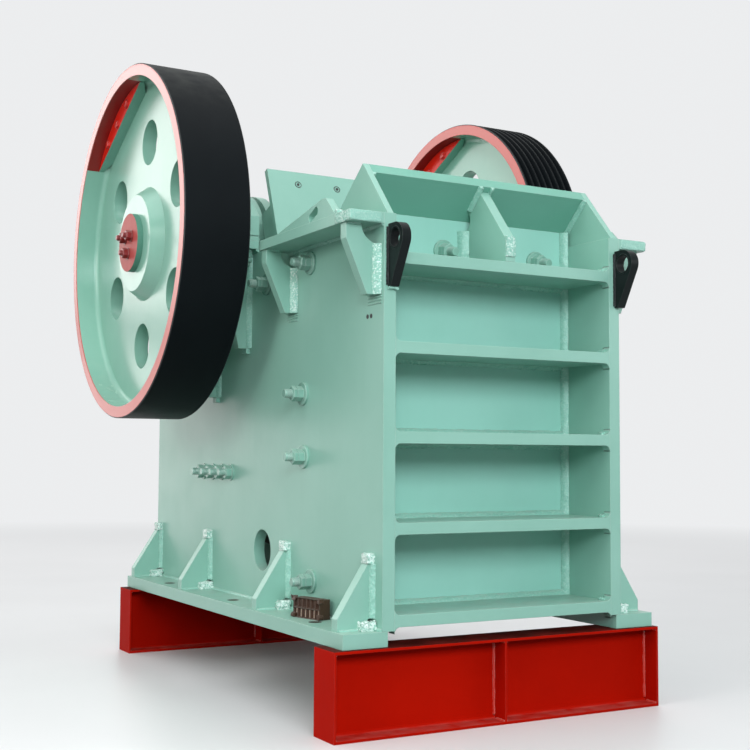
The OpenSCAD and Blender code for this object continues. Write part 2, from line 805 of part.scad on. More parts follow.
// Beams: rolled H sections closed by end plates, with a stiffener in the middle
module beam_section() {
    w = beam_w / 2;
    t = beam_web_t / 2;
    z0 = beam_flange_t;
    z1 = beam_h - beam_flange_t;
    r = beam_root_r;
    difference() {
        polygon([[-w, 0], [w, 0], [w, z0], [t + r, z0], [t + r, z0 + r], [t, z0 + r],
            [t, z1 - r], [t + r, z1 - r], [t + r, z1], [w, z1], [w, beam_h], [-w, beam_h],
            [-w, z1], [-t - r, z1], [-t - r, z1 - r], [-t, z1 - r], [-t, z0 + r],
            [-t - r, z0 + r], [-t - r, z0], [-w, z0]]);
        for (y = [-1, 1], z = [z0 + r, z1 - r]) translate([y * (t + r), z]) circle(r = r);
    }
}

module beam(y0) {
    translate([-beam_shift, y0 + beam_w / 2, -beam_h]) {
        slab_x(-beam_half, 2 * beam_half) beam_section();
        for (x = [0, beam_half - beam_web_t / 2 - beam_mid_off, 2 * beam_half - beam_web_t])
            translate([x - beam_half, -beam_w / 2, beam_flange_t])
                cube([beam_web_t, beam_w, beam_h - 2 * beam_flange_t]);
    }
}

module front_beam() { color(beam_red) place() beam(-beam_front); }
module rear_beam() { color(beam_red) place() beam(frame_l - beam_rear - beam_w); }

// Main shaft with its eccentric middle part
module main_shaft() {
    shoulder = wheel_in - 6;
    end = fly_mid + web_t / 2 + hub_out;
    color(cast_grey) place() at_shaft() {
        bar_x(journal_r, -shoulder, shoulder);
        translate([0, 0, throw]) bar_x(eccentric_r, -barrel_half + 10, barrel_half - 10);
        bar_x(wheel_seat_r, -end, shoulder);
        bar_x(wheel_seat_r, 0, pulley_mid + web_t / 2 + hub_out);
    }
}

// Wheels: hub, web and rim in one section, radius along X and the shaft's axis along Y
module wheel_section(r, w) {
    fillet = 26;
    hub_w = web_t / 2 + hub_out;
    ring = r - rim_t;
    upper = [[0, hub_w], [hub_face_r, hub_w], [hub_r, web_t / 2], [ring - fillet, web_t / 2],
        [ring - fillet, web_t / 2 + fillet], [ring, web_t / 2 + fillet], [ring, w / 2],
        [r - rim_edge, w / 2], [r, w / 2 - rim_edge]];
    n = len(upper);
    difference() {
        polygon(concat(upper, [for (i = [n - 1 : -1 : 0]) [upper[i][0], -upper[i][1]]]));
        for (s = [-1, 1]) translate([ring - fillet, s * (web_t / 2 + fillet)]) circle(r = fillet);
    }
}

module wheel(r, w, hole_at) {
    difference() {
        rotate([0, 90, 0]) rotate_extrude($fn = 180) wheel_section(r, w);
        for (i = [0 : web_hole_n - 1])
            rotate([34 + i * 360 / web_hole_n, 0, 0]) translate([0, hole_at, 0])
                bar_x(web_hole_r, -web_t, web_t);
        bar_x(wheel_seat_r + seat_gap, -w, w);
    }
}

// Two segments that bolt to the web, one on each face.
module wheel_weights(r) {
    out_r = r - rim_t - 2;
    flat_at = out_r - weight_deep;
    cut = 32;
    for (s = [0, 1]) mirror([s, 0, 0]) rotate([weight_angle, 0, 0]) intersection() {
        rotate([0, 90, 0]) rotate_extrude($fn = 180)
            polygon([[flat_at - 20, web_t / 2], [out_r - cut, web_t / 2],
                [out_r, web_t / 2 + cut], [out_r, web_t / 2 + weight_out],
                [flat_at - 20, web_t / 2 + weight_out]]);
        translate([0, flat_at, -r]) cube([fly_w, r, 2 * r]);
    }
}

module flywheel() {
    color(mint) place() at_shaft() translate([-fly_mid, 0, 0])
        wheel(fly_r, fly_w, web_hole_at);
}

module flywheel_weights() {
    color(beam_red) place() at_shaft() translate([-fly_mid, 0, 0]) wheel_weights(fly_r);
}

module drive_pulley() {
    mouth = groove_pitch * 0.42;
    root = groove_pitch * 0.2;
    color(mint) place() at_shaft() translate([pulley_mid, 0, 0]) difference() {
        wheel(pulley_r, pulley_w, pulley_hole_at);
        rotate([0, 90, 0]) for (i = [0 : groove_n - 1])
            translate([0, 0, (i - (groove_n - 1) / 2) * groove_pitch])
                rotate_extrude($fn = 180)
                    polygon([[pulley_r + 1, -mouth], [pulley_r + 1, mouth],
                        [pulley_r - groove_d, root], [pulley_r - groove_d, -root]]);
    }
}

module pulley_weights() {
    color(beam_red) place() at_shaft() translate([pulley_mid, 0, 0]) wheel_weights(pulley_r);
}

// End caps that clamp the wheels on the shaft
module shaft_end_caps() {
    fly_face = fly_mid + web_t / 2 + hub_out;
    pulley_face = pulley_mid + web_t / 2 + hub_out;
    color(beam_red) place() at_shaft() {
        bar_x(cap_r, -fly_face - cap_t, -fly_face);
        bar_x(cap_r, pulley_face, fly_out);
    }
}

left_side_plate();
right_side_plate();
front_wall();
front_ribs();
front_centre_gusset();
feed_lip();
left_base_plate();
right_base_plate();
left_base_gussets();
right_base_gussets();
left_top_flange();
right_top_flange();
left_flange_gussets();
right_flange_gussets();
left_ear_plate();
right_ear_plate();
left_lifting_lug();
right_lifting_lug();
rear_wall();
rear_ribs();
left_bearing_saddle();
right_bearing_saddle();
left_saddle_gussets();
right_saddle_gussets();
left_bearing_housing();
right_bearing_housing();
swing_jaw();
jaw_guard_plate();
fixed_jaw_plate();
fixed_jaw_wedge();
moving_jaw_plate();
cheek_plates();
toggle_plate();
toggle_block();
tension_rods();
tension_springs();
front_beam();
rear_beam();
main_shaft();
flywheel();
flywheel_weights();
drive_pulley();
pulley_weights();
shaft_end_caps();
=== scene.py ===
# The looks of a single toggle jaw crusher on two steel beams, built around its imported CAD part.
from math import cos, pi, radians, sin, sqrt, tau

import bmesh
import bpy
from mathutils import Matrix, Vector, noise


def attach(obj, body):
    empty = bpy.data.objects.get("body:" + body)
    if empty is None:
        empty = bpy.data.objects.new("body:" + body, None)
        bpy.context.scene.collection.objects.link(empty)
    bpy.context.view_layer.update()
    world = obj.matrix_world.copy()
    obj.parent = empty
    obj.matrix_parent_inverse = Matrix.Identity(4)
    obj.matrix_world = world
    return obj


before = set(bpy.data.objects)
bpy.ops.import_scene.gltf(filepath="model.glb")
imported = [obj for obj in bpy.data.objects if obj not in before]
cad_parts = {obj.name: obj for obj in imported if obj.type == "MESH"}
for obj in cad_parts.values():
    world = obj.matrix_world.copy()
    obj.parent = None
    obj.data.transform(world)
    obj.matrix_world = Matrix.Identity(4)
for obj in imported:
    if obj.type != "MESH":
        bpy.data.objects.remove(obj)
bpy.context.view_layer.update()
scene = bpy.context.scene

# Camera: it stands low in front of the machine's left corner, as in the photograph, and looks
# slightly up. Its matrix is built from the heading, the pitch and a small roll.
CAMERA_AT = Vector((-3.048, -5.6144, 1.105))
HEADING, PITCH, ROLL = 0.50915, 0.06474, 0.00547
ahead = Vector((sin(HEADING) * cos(PITCH), cos(HEADING) * cos(PITCH), sin(PITCH)))
right = Vector((cos(HEADING), -sin(HEADING), 0))
above = right.cross(ahead)
camera = bpy.data.objects.new("camera", bpy.data.cameras.new("camera"))
camera.data.lens = 59.596
camera.data.sensor_width = 36
camera.data.clip_end = 200
axes = (cos(ROLL) * right + sin(ROLL) * above, cos(ROLL) * above - sin(ROLL) * right, -ahead)
camera.matrix_world = Matrix.Translation(CAMERA_AT) @ Matrix(axes).transposed().to_4x4()
scene.collection.objects.link(camera)
scene.camera = camera
scene.view_settings.view_transform = "Standard"

# Studio: a pale floor that fades into an even pale wall, a sky that is brighter overhead, and
# large soft lamps above, in front, at both sides and behind.
WALL = (0.84, 0.85, 0.86, 1)
DAYLIGHT = (1.0, 0.99, 0.96)
FLOOR_R, FADE_FROM, FADE_TO = 40, 3.5, 15


def lamp(name, at, aim, size, watts, colour=(1, 1, 1)):
    light = bpy.data.lights.new(name, "AREA")
    light.shape = "RECTANGLE"
    light.size, light.size_y = size
    light.energy = watts
    light.color = colour
    stand = bpy.data.objects.new(name, light)
    turn = (Vector(aim) - Vector(at)).to_track_quat("-Z", "Y").to_matrix().to_4x4()
    stand.matrix_world = Matrix.Translation(at) @ turn
    scene.collection.objects.link(stand)


def add(tree, kind, inputs={}, **settings):
    """A shader node, fed through its inputs with plain values or other nodes' sockets."""
    made = tree.nodes.new("ShaderNode" + kind)
    for name, value in settings.items():
        setattr(made, name, value)
    for name, value in inputs.items():
        if isinstance(value, bpy.types.NodeSocket):
            tree.links.new(value, made.inputs[name])
        else:
            made.inputs[name].default_value = value
    return made


def maths(tree, operation, *values, **settings):
    return add(tree, "Math", dict(enumerate(values)), operation=operation, **settings).outputs[0]


def ranged(tree, value, low, high, to_low=0, to_high=1, **settings):
    """A value carried over from the range low to high to another range."""
    return add(tree, "MapRange", {"Value": value, "From Min": low, "From Max": high,
                                  "To Min": to_low, "To Max": to_high}, **settings).outputs[0]


def clouds(tree, spot, scale, detail, roughness=0.5):
    return add(tree, "TexNoise", {"Vector": spot, "Scale": scale, "Detail": detail,
                                  "Roughness": roughness}).outputs["Fac"]


def blended(tree, amount, first, second):
    """A value that goes from first to second with the amount."""
    return add(tree, "Mix", {0: amount, 2: first, 3: second}).outputs[0]


def looked_at(tree, rays):
    """1 where a ray shows the surface to the camera, to a gloss or through glass, else 0."""
    direct = maths(tree, "ADD", rays["Is Camera Ray"], rays["Is Glossy Ray"])
    return maths(tree, "ADD", direct, rays["Is Transmission Ray"], use_clamp=True)


lamp("roof_light", (-1.5, -1.5, 7.5), (0, -0.2, 1.0), (9, 7), 300)
lamp("front_light", (-3.2, -10.0, 4.6), (0, 0, 1.3), (6, 3), 800, (0.90, 0.97, 1.0))
lamp("left_light", (-9.0, -2.5, 4.2), (-0.4, 0, 1.6), (4, 3), 300, (1.0, 0.99, 0.95))
lamp("right_light", (7.5, -6.0, 3.6), (0, -1, 1.3), (4, 3), 140)
lamp("window_light", (-7.5, 12.0, 6.4), (-1.0, 0.4, 2.2), (10, 6), 520, DAYLIGHT)
lamp("door_light", (-3.7, 10.8, 1.3), (-0.6, 0.4, 1.7), (2.8, 2.4), 45, DAYLIGHT)
lamp("rear_light", (4.5, 8.5, 5.0), (0, 0, 1.5), (6, 3), 200)

world = bpy.data.worlds.new("studio")
scene.world = world
world.use_nodes = True
sky = world.node_tree
sky.nodes.clear()
height = add(sky, "SeparateXYZ", {"Vector": add(sky, "TexCoord").outputs["Generated"]})
overhead = ranged(sky, height.outputs["Z"], -0.25, 0.8, 0.13, 0.48)
glow = add(sky, "Background", {"Color": (0.93, 0.96, 1.0, 1), "Strength": overhead})
wall = add(sky, "Background", {"Color": WALL, "Strength": 1.0})
choice = add(sky, "MixShader", {"Fac": looked_at(sky, add(sky, "LightPath").outputs),
                                1: glow.outputs[0], 2: wall.outputs[0]})
add(sky, "OutputWorld", {"Surface": choice.outputs[0]})

ground = bmesh.new()
bmesh.ops.create_circle(ground, cap_ends=True, segments=96, radius=FLOOR_R)
floor_mesh = bpy.data.meshes.new("floor")
ground.to_mesh(floor_mesh)
ground.free()
floor = bpy.data.objects.new("floor", floor_mesh)
scene.collection.objects.link(floor)
screed = bpy.data.materials.new("floor_screed")
screed.use_nodes = True
slab = screed.node_tree
slab_skin = slab.nodes["Principled BSDF"]
slab_skin.inputs["Roughness"].default_value = 0.4
place = add(slab, "TexCoord").outputs["Object"]
rays = add(slab, "LightPath").outputs
tone = ranged(slab, clouds(slab, place, 0.8, 6), 0, 1, 0.66, 0.74)
bounce = blended(slab, rays["Is Diffuse Ray"], tone, 0.17)
slab.links.new(bounce, slab_skin.inputs["Base Color"])
away = add(slab, "VectorMath", {0: place}, operation="LENGTH").outputs["Value"]
far = ranged(slab, away, FADE_FROM, FADE_TO)
fade = maths(slab, "MULTIPLY", far, looked_at(slab, rays))
haze = add(slab, "Emission", {"Color": WALL, "Strength": 1.0})
highlit_rim_red = add(slab, "MixShader", {"Fac": fade, 1: slab_skin.outputs[0], 2: haze.outputs[0]})
slab.links.new(highlit_rim_red.outputs[0], slab.nodes["Material Output"].inputs["Surface"])
floor_mesh.materials.append(screed)

# Side plates: 56 mm steel, flame cut to shape and sprayed with mint green enamel. The coat is
# clouded where the gun passed twice, paler on its edges as a painted highlight, and dusty where
# it faces up.
MINT = (0.243, 0.466, 0.384, 1)
MINT_DEEP = (0.190, 0.402, 0.320, 1)
# A pale tint for the painted highlight along edges.
EDGE_HIGHLIGHT_TINT = (0.62, 0.72, 0.66, 1)
GREY_DUST = (0.5, 0.52, 0.46, 1)


def mixed(tree, amount, first, second):
    """A colour that goes from first to second with the amount."""
    return add(tree, "Mix", {0: amount, 6: first, 7: second}, data_type="RGBA").outputs[2]


def bumped(tree, height, strength, distance, **base):
    return add(tree, "Bump", {"Height": height, "Strength": strength, "Distance": distance,
                              **base}).outputs[0]


def group(name, ins, outs):
    """A node group: its tree, the sockets that it is given and the sockets that it fills."""
    made = bpy.data.node_groups.new(name, "ShaderNodeTree")
    for way, sockets in (("INPUT", ins), ("OUTPUT", outs)):
        for title, kind, value in sockets:
            socket = made.interface.new_socket(name=title, in_out=way,
                                               socket_type="NodeSocket" + kind)
            if value is not None:
                socket.default_value = value
    return made, made.nodes.new("NodeGroupInput").outputs, made.nodes.new("NodeGroupOutput").inputs


def sprayed_coat():
    """Colour, roughness and normal of a sprayed coat of enamel on plate."""
    tree, given, made = group(
        "sprayed_coat",
        (("Colour", "Color", (1, 1, 1, 1)), ("Deep", "Color", (0, 0, 0, 1)),
         ("Dust", "Color", GREY_DUST), ("Dust amount", "Float", 0.35),
         ("Roughness", "Float", 0.35), ("Peel", "Float", 0.3), ("Edge", "Float", 0.35)),
        (("Colour", "Color", None), ("Roughness", "Float", None), ("Normal", "Vector", None)))
    where = add(tree, "TexCoord").outputs
    spot = where["Object"]

    passes = ranged(tree, clouds(tree, spot, 1.9, 5, 0.6), 0.38, 0.72, 0, 0.55)
    body = mixed(tree, passes, given["Colour"], given["Deep"])
    stretch = add(tree, "Mapping", {"Vector": spot, "Scale": (9, 9, 0.7)}).outputs[0]
    runs = ranged(tree, clouds(tree, stretch, 1.0, 3), 0.55, 0.8, 0, 0.22)
    streaked = mixed(tree, runs, body, given["Deep"])

    # Edges: the pale tint, mixed in along rounded edges and broken up by noise, is a painted
    # highlight.
    rounded = add(tree, "Bevel", {"Radius": 0.004}, samples=4).outputs[0]
    flat = add(tree, "NewGeometry").outputs["Normal"]
    dot = add(tree, "VectorMath", {0: rounded, 1: flat}, operation="DOT_PRODUCT")
    turn = ranged(tree, dot.outputs["Value"], 0.995, 0.85)
    edge_glint = maths(tree, "MULTIPLY", turn, clouds(tree, spot, 38, 3))
    edge_highlight = maths(tree, "MULTIPLY", edge_glint, given["Edge"])
    edged = mixed(tree, edge_highlight, streaked, EDGE_HIGHLIGHT_TINT)

    lift = add(tree, "SeparateXYZ", {"Vector": where["Normal"]}).outputs["Z"]
    upward = ranged(tree, lift, 0.55, 0.95, interpolation_type="SMOOTHSTEP")
    settled = ranged(tree, clouds(tree, spot, 14, 6), 0.3, 0.75)
    lying = maths(tree, "MULTIPLY", upward, settled)
    dust = maths(tree, "MULTIPLY", lying, given["Dust amount"])
    dusty = mixed(tree, dust, edged, given["Dust"])

    sheen = ranged(tree, clouds(tree, spot, 5.5, 7, 0.7), 0, 1, -0.09, 0.09)
    rough = maths(tree, "ADD", given["Roughness"], sheen)
    matt = maths(tree, "MULTIPLY_ADD", dust, 0.5, rough, use_clamp=True)
    slack = bumped(tree, clouds(tree, spot, 3.2, 2), 0.25, 0.004, Normal=rounded)
    peel = bumped(tree, clouds(tree, spot, 210, 3), given["Peel"], 0.0007, Normal=slack)
    for name, source in (("Colour", dusty), ("Roughness", matt), ("Normal", peel)):
        tree.links.new(source, made[name])
    return tree


SPRAYED_COAT = sprayed_coat()


def enamel(name, colour, deep, rough=0.35, dust=0.35, peel=0.3, edge=0.55, gloss=0.5,
           dust_colour=GREY_DUST):
    """A sprayed coat: clouded from colour to deep, with painted highlight on edges, dust and
    orange peel.
    """
    material = bpy.data.materials.new(name)
    material.use_nodes = True
    tree = material.node_tree
    coat = add(tree, "Group", {}, node_tree=SPRAYED_COAT)
    for title, value in (("Colour", colour), ("Deep", deep), ("Roughness", rough),
                         ("Dust", dust_colour), ("Dust amount", dust), ("Peel", peel),
                         ("Edge", edge)):
        coat.inputs[title].default_value = value
    skin = tree.nodes["Principled BSDF"]
    skin.inputs["Specular IOR Level"].default_value = gloss
    for title, socket in (("Colour", "Base Color"), ("Roughness", "Roughness"),
                          ("Normal", "Normal")):
        tree.links.new(coat.outputs[title], skin.inputs[socket])
    return material


def finish_nodes(material, *names):
    for name in names:
        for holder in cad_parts[name].material_slots:
            holder.material = material


plate_enamel = enamel("mint_enamel_on_plate", MINT, MINT_DEEP)
finish_nodes(plate_enamel, "left_side_plate", "right_side_plate")

# Studs of the cheek plates: threaded bars through the side plates, each with a thick washer,
# a nut and a lock nut, painted over with the plates. Everything below is drawn in millimetres
# from the base plates' underside and front edge, and then set down on its beams.
MIDDLE_Y, BEAM_H = 1310, 350
ON_THE_BEAMS = Matrix.Scale(0.001, 4) @ Matrix.Translation((0, -MIDDLE_Y, BEAM_H))
SIDE_OUT = 606
STUD_AT = ((730, 1030), (717, 747), (664, 1614), (634, 202), (1139, 1574))
LOW_BOLT_Y, LOW_BOLT_Z = (1930, 1800, 1679, 1561), 667
WASHER_T, NUT_T, LOCK_NUT_T, THREAD_FROM = 12, 30, 19, 58


def set_down(bm, name, material, body="frame", crease=38):
    """Makes the finished piece, stands it on the beams and lets it ride on its body."""
    bmesh.ops.recalc_face_normals(bm, faces=bm.faces)
    bmesh.ops.transform(bm, matrix=ON_THE_BEAMS, verts=bm.verts)
    mesh = bpy.data.meshes.new(name)
    bm.to_mesh(mesh)
    bm.free()
    mesh.materials.append(material)
    mesh.shade_smooth()
    mesh.set_sharp_from_angle(angle=radians(crease))
    piece = bpy.data.objects.new(name, mesh)
    scene.collection.objects.link(piece)
    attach(piece, body)
    return piece


def facing(seat, direction):
    turn = Vector(direction).to_track_quat("Z", "Y").to_matrix().to_4x4()
    return Matrix.Translation(seat) @ turn


def put(bm, part):
    """Adds a finished part to the piece that it belongs to."""
    shape = bpy.data.meshes.new("part")
    part.to_mesh(shape)
    part.free()
    bm.from_mesh(shape)
    bpy.data.meshes.remove(shape)


def turned(bm, seat, direction, outline, sides=28):
    """A turned piece on its seat: its outline gives radius and height, from foot to tip."""
    part, stand = bmesh.new(), facing(seat, direction)
    points = [part.verts.new(stand @ Vector((r, 0, h))) for r, h in outline]
    edges = [part.edges.new(pair) for pair in zip(points, points[1:])]
    bmesh.ops.spin(part, geom=points + edges, cent=seat, axis=Vector(direction).normalized(),
                   angle=tau, steps=sides, use_merge=True)
    bmesh.ops.remove_doubles(part, verts=part.verts, dist=0.02)
    put(bm, part)


def hexagon(bm, seat, direction, across, height, chamfer=2.5):
    """A nut or bolt head, chamfered on its outer face."""
    part = bmesh.new()
    bmesh.ops.create_cone(part, cap_ends=True, segments=6, radius1=across / sqrt(3),
                          radius2=across / sqrt(3), depth=height,
                          matrix=Matrix.Translation((0, 0, height / 2)))
    rim = [e for e in part.edges if min(v.co.z for v in e.verts) > height / 2]
    bmesh.ops.bevel(part, geom=rim, offset=chamfer, segments=1, profile=0.5, affect="EDGES",
                    material=-1)
    bmesh.ops.transform(part, matrix=facing(seat, direction), verts=part.verts)
    put(bm, part)


def thread(bar, start, end, pitch=4, depth=1.8):
    """The outline of a threaded end, with its cut tip chamfered."""
    turns = int((end - start - 2) / pitch)
    ridges = [(bar - depth * (i % 2), start + i * pitch / 2) for i in range(2 * turns)]
    return ridges + [(bar - 3, end), (0, end)]


def stud(bm, seat, direction, washer=52, across=60, length=98, bar=20):
    """A threaded bar that comes out through a washer, a nut and a thinner lock nut."""
    seat, out = Vector(seat), Vector(direction).normalized()
    turned(bm, seat, direction, [(0, -1), (washer, -1), (washer, WASHER_T - 2),
                                 (washer - 2, WASHER_T), (0, WASHER_T)])
    hexagon(bm, seat + out * WASHER_T, out, across, NUT_T)
    hexagon(bm, seat + out * (WASHER_T + NUT_T + 1), out, across, LOCK_NUT_T)
    turned(bm, seat, out, [(0, WASHER_T), (bar, WASHER_T)] + thread(bar, THREAD_FROM, length), 20)


def bolt(bm, seat, direction, washer, washer_t, across, head, sides=28, chamfer=2.5):
    """A plain washer with a bolt head or a nut on it. Gives the middle of its outer face."""
    seat, out = Vector(seat), Vector(direction)
    turned(bm, seat, out, [(0, -1), (washer, -1), (washer, washer_t), (0, washer_t)], sides)
    hexagon(bm, seat + out * washer_t, out, across, head, chamfer)
    return seat + out * (washer_t + head)


def threaded_tip(bm, seat, direction, bar, start, end):
    """The end of a bar that stands out of its nut."""
    turned(bm, seat, direction, [(0, -1), (bar, -1)] + thread(bar, start, end), 20)


# The fasteners' deep tone is a dark painted shade, clouded over nuts and washers, and their
# strongly paled edges are a painted highlight.
fastener_enamel = enamel("mint_enamel_on_fasteners", (0.22, 0.43, 0.35, 1),
                         (0.07, 0.16, 0.13, 1), rough=0.24, edge=0.8, gloss=0.6)
studs = bmesh.new()
for side in (-1, 1):
    out = (side, 0, 0)
    for y, z in STUD_AT:
        stud(studs, (side * SIDE_OUT, y, z), out)
    for y in LOW_BOLT_Y:
        tip = bolt(studs, (side * SIDE_OUT, y, LOW_BOLT_Z), out, washer=42, washer_t=8,
                   across=60, head=30)
        threaded_tip(studs, tip, out, bar=19, start=2, end=32)
set_down(studs, "cheek_plate_studs", fastener_enamel)

# Tapped holes: two small holes in each side plate below the shoulder, still empty, each with a
# turned lip and a dark disc in its mouth as painted shade.
TAPPED_Y, TAPPED_Z = (104, 134), 1323
dark_steel_and_hole_shade = enamel("oiled_dark_steel_and_hole_shade", (0.022, 0.024, 0.024, 1), (0.012, 0.013, 0.013, 1),
                    rough=0.4, dust=0.1, edge=0.2)
tapped_holes = bmesh.new()
for side in (-1, 1):
    for y in TAPPED_Y:
        turned(tapped_holes, (side * SIDE_OUT, y, TAPPED_Z), (side, 0, 0),
               [(0, -1), (10, -1), (9.5, 1.6), (7, 1.6), (6, 0.3), (0, 0.3)], 20)
set_down(tapped_holes, "side_plate_tapped_holes", dark_steel_and_hole_shade)

# Front: a wall behind five cross ribs, a centre gusset and a sloping feed lip, welded between
# the side plates. The fillet welds are laid by hand, so their beads are lumpy and ragged, and
# their coat is flecked with pale painted glints.
BAY_D, INNER, HORN_INNER = 320, 550, 562
RIBS, RIB_TOP, RIB_PITCH, RIB_T = 5, 1582, 365, 48
WALL_TOP, LIP_Y0, LIP_Z0, LIP_SEAT = 1803, 177, 1938, 46
CENTRE_GUSSET_X = (-11, 37)
UP, DOWN, TO_FRONT, TO_REAR = (0, 0, 1), (0, 0, -1), (0, -1, 0), (0, 1, 0)
# The front wall's coat is lighter than the plates' as painted light in its deep bays.
bay_enamel_painted_light = enamel("mint_enamel_lightened_in_bays", (0.290, 0.570, 0.490, 1), (0.235, 0.500, 0.415, 1),
                    gloss=0.3)
# The feed lip's coat is a deeper green than the plates' as painted shade.
lip_enamel_painted_shade = enamel("mint_enamel_shaded_on_lip", (0.155, 0.390, 0.305, 1), (0.130, 0.340, 0.260, 1),
                    gloss=0.3)
finish_nodes(bay_enamel_painted_light, "front_wall")
finish_nodes(lip_enamel_painted_shade, "feed_lip")
finish_nodes(plate_enamel, "front_ribs", "front_centre_gusset")


def weld(bm, start, end, wall_a, wall_b, leg, lumps=2.4, step=6, crown=0.16, root=3, sunk=0.6):
    """A fillet weld run into the corner between two plates that lie along wall_a and wall_b."""
    bead = bmesh.new()
    start, wall_a, wall_b = Vector(start), Vector(wall_a), Vector(wall_b)
    run = Vector(end) - start
    steps = max(3, round(run.length / step))
    out = (wall_a + wall_b).normalized()
    section = [bead.verts.new(start - out * root)]
    for i in range(7):
        t = i / 6
        across = wall_a * (1 - t) + wall_b * t
        bulge = out * (leg * crown * sin(pi * t) - sunk)
        section.append(bead.verts.new(start + across * leg + bulge))
    face = bead.faces.new(section)
    bmesh.ops.spin(bead, geom=[face], cent=start, axis=run.normalized(), dvec=run / steps,
                   angle=0, steps=steps)
    for v in bead.verts:
        if (v.co - start).dot(out) > 0:
            v.co += out * lumps * (1.5 * noise.noise(v.co / 7) + noise.noise(v.co / 31 + out))
    put(bm, bead)


def lump(bm, centre, size, rough=6):
    """A rough block of weld metal, built up in several runs."""
    blob = bmesh.new()
    bmesh.ops.create_cube(blob, size=1, matrix=Matrix.Diagonal((*size, 1)))
    bmesh.ops.subdivide_edges(blob, edges=blob.edges, cuts=6, use_grid_fill=True)
    bmesh.ops.smooth_vert(blob, verts=blob.verts, factor=0.6, use_axis_x=True, use_axis_y=True,
                          use_axis_z=True)
    bmesh.ops.translate(blob, vec=centre, verts=blob.verts)
    for v in blob.verts:
        v.co += noise.noise_vector(v.co / 10) * rough + noise.noise_vector(v.co / 23) * rough
    put(bm, blob)


def weld_coat(name, glints, finest=0.5):
    """Enamel over weld metal: rippled, and flecked with pale painted glints."""
    material = enamel(name, (0.25, 0.51, 0.42, 1), (0.19, 0.43, 0.345, 1), rough=0.28, peel=1.0,
                      edge=0.5, dust=0.5)
    tree = material.node_tree
    coat, skin = tree.nodes["Group"].outputs, tree.nodes["Principled BSDF"].inputs
    speckle = clouds(tree, add(tree, "TexCoord").outputs["Object"], 125, 4, 0.7)
    # Pale flecks over the speckle are painted glints on the lumpy beads.
    glint = ranged(tree, speckle, finest, finest + 0.12, 0, glints)
    pale = mixed(tree, glint, coat["Colour"], (0.74, 0.84, 0.80, 1))
    tree.links.new(pale, skin["Base Color"])
    tree.links.new(bumped(tree, speckle, 0.8, 0.003, Normal=coat["Normal"]), skin["Normal"])
    return material


weld_enamel = weld_coat("mint_enamel_on_welds", 0.16)
rough_weld_enamel = weld_coat("mint_enamel_on_rough_welds", 0.75)
spattered_enamel = weld_coat("mint_enamel_on_spatter", 0.9, 0.42)

front_welds = bmesh.new()
slope = Vector((0, BAY_D - LIP_SEAT - LIP_Y0, WALL_TOP + LIP_SEAT - LIP_Z0))
under_lip = Vector((0, slope.z, -slope.y)).normalized()
for side in (-1, 1):
    corner, inward = side * INNER, (-side, 0, 0)
    for i in range(RIBS - 1):
        top = RIB_TOP - RIB_T - i * RIB_PITCH
        foot = RIB_TOP - (i + 1) * RIB_PITCH
        weld(front_welds, (corner, BAY_D, foot), (corner, BAY_D, top), inward, TO_FRONT, 28)
    weld(front_welds, (corner, BAY_D, RIB_TOP), (corner, BAY_D, WALL_TOP), inward, TO_FRONT, 30)
    weld(front_welds, (side * HORN_INNER, LIP_Y0, LIP_Z0), (side * HORN_INNER, BAY_D, WALL_TOP),
         inward, under_lip, 18)
    gusset, out = CENTRE_GUSSET_X[side > 0], (side, 0, 0)
    weld(front_welds, (gusset, BAY_D, RIB_TOP), (gusset, BAY_D, WALL_TOP - LIP_SEAT), out,
         TO_FRONT, 40, lumps=3.4)
    weld(front_welds, (gusset, LIP_Y0, LIP_Z0), (gusset, BAY_D - LIP_SEAT, WALL_TOP + LIP_SEAT),
         out, under_lip, 18)
for i in range(RIBS):
    top = RIB_TOP - i * RIB_PITCH
    weld(front_welds, (-INNER, BAY_D, top), (INNER, BAY_D, top), TO_FRONT, UP, 22)
    if i < RIBS - 1:
        weld(front_welds, (-INNER, BAY_D, top - RIB_T), (INNER, BAY_D, top - RIB_T), TO_FRONT,
             DOWN, 18)
    for side in (-1, 1):
        lump(front_welds, (side * (INNER - 10), 44, top + 4), (26, 34, 16), 4)
set_down(front_welds, "front_wall_welds", weld_enamel)
gusset_weld = bmesh.new()
lump(gusset_weld, (sum(CENTRE_GUSSET_X) / 2, 0, 1648), (48, 14, 88), 4)
set_down(gusset_weld, "centre_gusset_weld", rough_weld_enamel)

# Wall studs: two bolts of the fixed jaw plate come through the front wall over the top rib,
# with washer and nuts, and lean a little down to the front.
WALL_STUD_AT, STUD_DROOP = ((-127, 1663), (377, 1653)), radians(10)
wall_studs = bmesh.new()
for x, z in WALL_STUD_AT:
    stud(wall_studs, (x, BAY_D, z), (0, -cos(STUD_DROOP), -sin(STUD_DROOP)), washer=48,
         length=112)
set_down(wall_studs, "fixed_jaw_studs", fastener_enamel)

